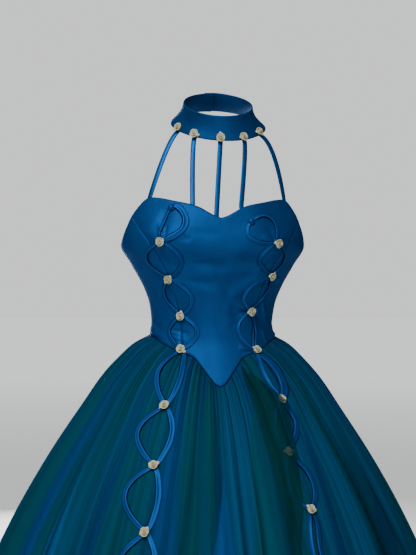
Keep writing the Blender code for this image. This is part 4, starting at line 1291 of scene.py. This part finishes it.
def ribbonStrand(name, node, path, other, upper):
    centres = np.array([clothPlace(row[0], row[1]) for row in path])
    centres = smoothRows(centres, 3)
    others = np.array([clothPlace(row[0], row[1]) for row in other])
    normals = np.array([clothNormal(row[0], row[1]) for row in path])
    normals = unit(smoothRows(normals, 5))
    along = unit(smoothRows(np.gradient(centres, axis=0), 3))
    sides = unit(np.cross(along, normals))
    across = np.linspace(-1, 1, 11)
    dice = random.Random(len(name) * 7 + len(path))
    phase = dice.uniform(0, 6)
    widths = smoothRows(np.array([[row[3]] for row in path]), 5)[:, 0]
    grid = np.empty((len(path), len(across), 3))
    edge = np.empty((len(path), len(across), 2))
    turned = 0.0
    for i, (drop, share) in enumerate((row[1], row[2]) for row in path):
        lower = float(smoothStep(*ribbons["widens"], drop))
        width = ribbons["widthOnBodice"] + (ribbons["widthOnSkirt"] - ribbons["widthOnBodice"]) * lower
        fromBud = min(share, 1 - share) / ribbons["gatheredReach"]
        drawn = 1 - (1 - ribbons["gathered"]) * math.exp(-(fromBud**2))
        width *= drawn * (1 + ribbons["waver"] * math.sin(0.9 * i + phase)) * widths[i]
        apart = float(np.linalg.norm(centres[i] - others[i])) / width
        over = max(0.0, min(1.0, 3.0 - 1.5 * apart)) if upper else 0.0
        # which side of the strip lies towards the loop's middle
        middle = (centres[i] + others[i]) / 2 - centres[i]
        inner = 1.0 if float(np.dot(sides[i], middle)) > 0 else -1.0
        turned = turned + 0.5 * (inner - turned) if i else inner
        stand = ribbons["raisedEdge"] * math.sin(math.pi * share) ** 0.7
        stand *= 0.8 + 0.2 * math.sin(0.37 * i + phase)
        for k, s in enumerate(across):
            foot = clothUnder(centres[i] + sides[i] * (s * width / 2))
            height = ribbons["lift"] + ribbons["crossingLift"] * over + ribbons["crown"] * (1 - s * s)
            fromRaised = (s * turned - ribbons["raisedAt"]) / ribbons["raisedWidth"]
            height += stand * math.exp(-(fromRaised**2))
            grid[i, k] = foot + normals[i] * height
            edge[i, k] = (s * inner, i)
    grid = smoothRows(grid, 3)
    look = np.cross(grid[1, -1] - grid[1, 0], grid[2, 0] - grid[1, 0])
    if float(np.dot(look, normals[1])) < 0:
        grid, edge = grid[:, ::-1], edge[:, ::-1]
    piece = clothPiece(name, grid, ribbons["wall"], ribbonSatin, edge)
    placed(piece, "satin_ribbon", node)
    return piece, grid, normals


def smoothRows(values, width):
    # a short running mean along the first axis, with the ends kept
    kernel = np.hanning(width + 2)[1:-1]
    kernel = kernel / kernel.sum()
    half = width // 2
    flat = values.reshape(len(values), -1)
    padded = np.concatenate([flat[:1].repeat(half, 0), flat, flat[-1:].repeat(half, 0)])
    out = np.stack([np.convolve(padded[:, k], kernel, mode="valid") for k in range(flat.shape[1])], -1)
    return out.reshape(values.shape)


# Rosebuds: a rolled strip of cream ribbon with its ends tucked out below
roses = {
    "radius": 0.0074,
    "height": 0.0082,
    "turns": 2.4,
    "petals": 5,
    "wall": 0.0005,
    "tail": 0.0060,
    "tailWidth": 0.0030,
    "core": 0.0006,
    "cushion": 0.0028,
    "onCollar": [-68, -38, -2, 29.5, 60],
    "aboveRim": 0.005,
}


def roundGrid(radius, angle, height):
    return np.stack([radius * np.cos(angle), radius * np.sin(angle), height + 0 * angle], -1)


def roseGrids(seed):
    dice = random.Random(seed)
    columns, rows = 60, 8
    phase, wave = dice.uniform(0, 6), dice.uniform(1.5, 2.1)
    t = np.linspace(0, 1, columns)[None, :]
    s = np.linspace(0, 1, rows)[:, None]
    turn = 2 * math.pi * roses["turns"] * t + phase
    reach = roses["core"] + roses["radius"] * 0.50 * t**0.9
    tall = roses["height"] * (1.0 - 0.22 * t) * (1 + 0.08 * np.sin(turn * wave))
    belly = 0.62 + 0.38 * np.sin(math.pi * 0.62 * s)
    curl = roses["radius"] * 0.12 * s**4 * t
    radius = reach * belly + curl
    height = tall * np.sin(math.pi * 0.56 * s) / math.sin(math.pi * 0.5)
    grids = [roundGrid(radius, turn, height)]
    # outer petals, each a rounded lap of ribbon bent back at its lip
    for petal in range(roses["petals"]):
        middle = phase + 2 * math.pi * petal / roses["petals"] + dice.uniform(-0.15, 0.15)
        opening = dice.uniform(0.85, 1.12)
        u = np.linspace(-1, 1, 11)[None, :]
        v = np.linspace(0, 1, 7)[:, None]
        rim = np.sqrt(np.clip(1 - (0.92 * u) ** 2, 0, 1)) ** 0.7
        around = middle + u * 0.80
        out = roses["radius"] * (0.46 + 0.46 * np.sin(v * math.pi * 0.5) * opening + 0.16 * v**4)
        out = out * (0.80 + 0.20 * rim)
        up = roses["height"] * (0.05 + 0.66 * v * rim - 0.16 * v**5)
        grids.append(roundGrid(out, around, up))
    # the cushion that the petals are sewn to
    ring = np.linspace(0, 2 * math.pi, 15)[None, :]
    rise = np.linspace(0, 1, 4)[:, None]
    cushion = roses["radius"] * 0.78 * np.cos(rise * math.pi / 2 * 0.96)
    grids.append(roundGrid(cushion, ring, roses["cushion"] * np.sin(rise * math.pi / 2)))
    # the two ends of the strip
    for k in range(2):
        heading = phase + math.pi * k + dice.uniform(-0.9, 0.9)
        length = roses["tail"] * dice.uniform(0.6, 1.2)
        v = np.linspace(0, 1, 6)[:, None]
        u = np.linspace(-1, 1, 5)[None, :]
        wide = roses["tailWidth"] * np.sin(math.pi * (0.25 + 0.55 * v))
        x = 0.004 + length * v + 0.0008 * u * v
        y = u * wide
        z = 0.0014 + 0.0020 * np.sin(math.pi * v) - 0.0006 * u * u
        c, d = math.cos(heading), math.sin(heading)
        grids.append(np.stack([x * c - y * d, x * d + y * c, z], -1))
    return grids


def rosePiece(name, node, place, normal, seed):
    turn = np.array(Vector(normal).to_track_quat("Z", "Y").to_matrix())
    grids = [grid @ turn.T + place for grid in roseGrids(seed)]
    return placed(clothPiece(name, grids, roses["wall"], creamRibbon), "cream_ribbon", node)


def knotGrids(place, normal, along, seed):
    # the strands' first ends, tied over and turned under
    dice = random.Random(seed)
    side = unit(np.cross(along, normal))
    grids = []
    for lap in range(3):
        u = np.linspace(0, 1, 15)[None, :]
        v = np.linspace(-1, 1, 6)[:, None]
        heading = lap * 1.05 + dice.uniform(-0.2, 0.2)
        lengthwise = along * math.cos(heading) + side * math.sin(heading)
        crosswise = side * math.cos(heading) - along * math.sin(heading)
        arch = np.sin(math.pi * u)
        far = (u - 0.5) * ribbons["knotLength"]
        wide = v * ribbons["knotWidth"] / 2 * (0.75 + 0.25 * arch)
        up = 0.0006 + (0.0026 + 0.0009 * lap) * arch - 0.0008 * v**2
        grid = place + far[..., None] * lengthwise + wide[..., None] * crosswise + up[..., None] * normal
        middle = np.cross(grid[3, -1] - grid[3, 0], grid[-1, 7] - grid[0, 7])
        grids.append(grid if float(np.dot(middle, normal)) > 0 else grid[:, ::-1])
    return grids


def makeLattice(side, hand):
    loops = lattices[side]
    paths = strandPaths(side, hand)
    label = side.capitalize()
    low, lowGrid, _ = ribbonStrand(f"ribbon{label}Under", f"ribbon_{side}_1", *paths, False)
    top, topGrid, topNormals = ribbonStrand(f"ribbon{label}Over", f"ribbon_{side}_2", *paths[::-1], True)
    start = (lowGrid[0].mean(axis=0) + topGrid[0].mean(axis=0)) / 2
    down = unit(topGrid[3].mean(axis=0) - topGrid[0].mean(axis=0))
    tied = knotGrids(start, topNormals[0], down, 7 + hand)
    knot = placed(clothPiece(f"ribbon{label}Knot", tied, ribbons["wall"], knotSatin), "satin_ribbon")
    buds = []
    for number in range(1, len(loops)):
        i = number * ribbons["stepsPerLoop"]
        place = topGrid[i].mean(axis=0) + topNormals[i] * 0.0004
        seed = 40 * hand + number
        buds.append(rosePiece(f"rose{label}{number}", f"rose_{side}_{number}", place, topNormals[i], seed))
    return low, top, knot, buds


rightLattice = makeLattice("right", -1)
leftLattice = makeLattice("left", 1)
for number, angle in enumerate(roses["onCollar"]):
    height = -collar["halfHeight"] + roses["aboveRim"]
    place = collarPoint(angle, height, 0.0002)
    up = outward(collarPoint, angle, height)
    seed = 100 + number
    rosePiece(f"roseCollar{number + 1}", f"rose_collar_{number + 1}", place, up, seed)
print("trimming made")


# A loose fold of net that has slipped over part of the left lattice
veil = {
    "rows": 70,
    "columns": 34,
    # drop, bearings of the hidden and the loose edge, height over the net
    "edges": [
        (0.462, 20.0, 20.2, 0.0010), (0.480, 17.0, 25.0, 0.0040), (0.500, 15.5, 29.0, 0.0075),
        (0.510, 15.0, 31.2, 0.0115), (0.519, 14.6, 33.8, 0.0130), (0.530, 14.2, 33.6, 0.0115),
        (0.545, 14.0, 32.2, 0.0075), (0.575, 13.0, 30.2, 0.0070), (0.594, 12.2, 28.2, 0.0120),
        (0.606, 12.0, 27.6, 0.0130), (0.622, 12.0, 26.4, 0.0090), (0.645, 12.0, 25.6, 0.0065),
        (0.668, 12.0, 24.6, 0.0065), (0.690, 12.0, 23.2, 0.0060), (0.720, 12.0, 20.4, 0.0050),
        (0.800, 11.5, 17.5, 0.0040), (0.950, 11.0, 14.0, 0.0020), (1.050, 10.8, 11.0, 0.0010),
    ],
}


def makeVeil():
    table = veil["edges"]
    top, low = table[0][0], table[-1][0]
    drops = np.linspace(low, top, veil["rows"])
    hidden, loose, lift = [
        np.interp(drops, [row[0] for row in table], [row[column] for row in table]) for column in (1, 2, 3)
    ]
    grid = np.empty((veil["rows"], veil["columns"], 3))
    folds = np.empty((veil["rows"], veil["columns"], 2))
    for r, drop in enumerate(drops):
        ends = float(smoothStep(top, top + 0.05, drop) * (1 - smoothStep(0.78, low, drop)))
        for c in range(veil["columns"]):
            share = c / (veil["columns"] - 1)
            bearing = hidden[r] + (loose[r] - hidden[r]) * share
            height = lift[r] * float(smoothStep(0.0, 0.45, share)) * ends
            height += 0.0010 + 0.0012 * math.sin(9 * share + 14 * drop) * ends
            a = math.radians(bearing)
            away = np.array([math.sin(a), -math.cos(a), 0.25])
            grid[r, c] = clothPlace(bearing, drop) + unit(away) * height
            folds[r, c] = (bearing / 10, drop - 0.46)
    piece = clothPiece("looseNetFold", smoothRows(grid, 3), skirt["netWall"] * 0.6, looseTulle, folds)
    return placed(piece, "teal_tulle")


looseFold = makeVeil()


# A covered button holds the collar's lap behind
button = {
    "radius": 0.0068,
    "height": 0.0042,
    "angle": 187.0,
    "wall": 0.0006,
    # shares of the radius and the height
    "profile": [
        (0.72, 0.0), (0.96, 0.10), (1.0, 0.30), (0.97, 0.55), (0.84, 0.80), (0.60, 0.95), (0.32, 1.0),
        (0.02, 1.0),
    ],
}


def makeButton():
    ring = np.linspace(0, 2 * math.pi, 33)[None, :]
    radius = np.array([p[0] for p in button["profile"]])[:, None] * button["radius"]
    height = np.array([p[1] for p in button["profile"]])[:, None] * button["height"]
    pucker = 1 + 0.025 * np.cos(9 * ring) * (radius / button["radius"]) ** 2
    shape = roundGrid(radius * pucker, ring, height)
    up = outward(collarPoint, button["angle"], 0.0)
    turn = np.array(Vector(up).to_track_quat("Z", "Y").to_matrix())
    place = collarPoint(button["angle"], 0.0, collar["wall"] + collar["lapRoom"])
    piece = clothPiece("collarButton", shape @ turn.T + place, button["wall"], collarSatin)
    return placed(piece, "blue_satin", "collar_button")


collarButton = makeButton()
print("loose net and button made")


for gore in gores:
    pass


# Camera at the photograph's viewing angle, level with the bust, and the plain studio
view = {
    "place": (-0.3062, -2.1786, -0.304),
    "forward": (0.1392, 0.9903, 0.0),
    "lens": 76.3,
    "sensor": 36.0,
    "roll": 0.5,
    "shift": -0.0095,
}
studio = {
    "floor": -1.432,
    "reach": 30.0,
    "paper": (0.80, 0.80, 0.79, 1),
    "paperRoughness": 0.9,
    "pale": (0.80, 0.81, 0.82, 1),
    "fadeFrom": 2.2,  # the floor glows like the backdrop from the second distance on
    "fadeTo": 12.0,
    "nearGlow": 0.50,
    "farGlow": 1.12,
    "light": (0.80, 0.82, 0.84, 1),
    "lightStrength": 0.12,
    "backdropStrength": 1.15,
    # name, place, aim, size, power
    "lamps": [
        ("keyLight", (-1.1, -2.5, 2.1), (0.0, 0.0, -0.5), 1.8, 114),
        ("frontLight", (0.2, -3.2, -0.6), (0.0, 0.0, -1.0), 1.6, 10),
        ("topLight", (-1.2, -0.4, 3.2), (-0.2, 0.2, -1.4), 2.6, 30),
        ("backLight", (-0.3, 3.4, -0.1), (0.0, 0.0, -0.6), 2.2, 85),
    ],
}


def makeCamera():
    forward = Vector(view["forward"]).normalized()
    level = forward.cross(Vector((0, 0, 1))).normalized()
    roll = math.radians(view["roll"])
    right = level * math.cos(roll) + Vector((0, 0, 1)) * math.sin(roll)
    up = right.cross(forward).normalized()
    data = bpy.data.cameras.new("photographCamera")
    data.lens = view["lens"]
    data.sensor_width = view["sensor"]
    data.shift_x = view["shift"]
    camera = bpy.data.objects.new("photographCamera", data)
    turn = Matrix((right, up, -forward)).transposed().to_4x4()
    camera.matrix_world = Matrix.Translation(view["place"]) @ turn
    bpy.context.scene.collection.objects.link(camera)
    bpy.context.scene.camera = camera


def cameraOnly(tree, unseen, seen):
    # one shader for what the camera sees, another for the light that falls on the gown
    path = tree.nodes.new("ShaderNodeLightPath")
    either = tree.nodes.new("ShaderNodeMixShader")
    tree.links.new(path.outputs["Is Camera Ray"], either.inputs[0])
    tree.links.new(unseen.outputs[0], either.inputs[1])
    tree.links.new(seen.outputs[0], either.inputs[2])
    return either.outputs[0]


def makePaper():
    pale = bpy.data.materials.new("palePaper")
    pale.use_nodes = True
    tree = pale.node_tree
    nodes, links = tree.nodes, tree.links
    paper = nodes["Principled BSDF"]
    paper.inputs["Base Color"].default_value = studio["paper"]
    paper.inputs["Roughness"].default_value = studio["paperRoughness"]
    lit = nodes.new("ShaderNodeEmission")
    lit.inputs["Color"].default_value = studio["pale"]
    where = nodes.new("ShaderNodeNewGeometry")
    distance = nodes.new("ShaderNodeVectorMath")
    distance.operation = "LENGTH"
    fade = nodes.new("ShaderNodeMapRange")
    fade.interpolation_type = "SMOOTHSTEP"
    keys = {"From Min": "fadeFrom", "From Max": "fadeTo", "To Min": "nearGlow", "To Max": "farGlow"}
    for label, key in keys.items():
        fade.inputs[label].default_value = studio[key]
    links.new(where.outputs["Position"], distance.inputs[0])
    links.new(distance.outputs["Value"], fade.inputs["Value"])
    links.new(fade.outputs["Result"], lit.inputs["Strength"])
    none = nodes.new("ShaderNodeEmission")
    none.inputs["Strength"].default_value = 0.0
    both = nodes.new("ShaderNodeAddShader")
    links.new(paper.outputs[0], both.inputs[0])
    links.new(cameraOnly(tree, none, lit), both.inputs[1])
    links.new(both.outputs[0], nodes["Material Output"].inputs["Surface"])
    return pale


def makeFloor():
    mesh = bpy.data.meshes.new("studioFloor")
    reach = studio["reach"]
    corners = [(-reach, -reach), (reach, -reach), (reach, reach), (-reach, reach)]
    mesh.from_pydata([(x, y, studio["floor"]) for x, y in corners], [], [(0, 1, 2, 3)])
    mesh.materials.append(makePaper())
    floor = bpy.data.objects.new("studioFloor", mesh)
    bpy.context.scene.collection.objects.link(floor)


def makeWorld():
    world = bpy.data.worlds.new("studio")
    world.use_nodes = True
    tree = world.node_tree
    glow = tree.nodes["Background"]
    glow.inputs["Color"].default_value = studio["light"]
    glow.inputs["Strength"].default_value = studio["lightStrength"]
    backdrop = tree.nodes.new("ShaderNodeBackground")
    backdrop.inputs["Color"].default_value = studio["pale"]
    backdrop.inputs["Strength"].default_value = studio["backdropStrength"]
    tree.links.new(cameraOnly(tree, glow, backdrop), tree.nodes["World Output"].inputs["Surface"])
    bpy.context.scene.world = world


def makeLamps():
    for name, place, aim, size, power in studio["lamps"]:
        data = bpy.data.lights.new(name, "AREA")
        data.shape = "DISK"
        data.size = size
        data.energy = power
        lamp = bpy.data.objects.new(name, data)
        lamp.location = place
        lamp.rotation_euler = (Vector(aim) - Vector(place)).to_track_quat("-Z", "Y").to_euler()
        bpy.context.scene.collection.objects.link(lamp)


makeCamera()
makeFloor()
makeWorld()
makeLamps()
print("camera and studio made")
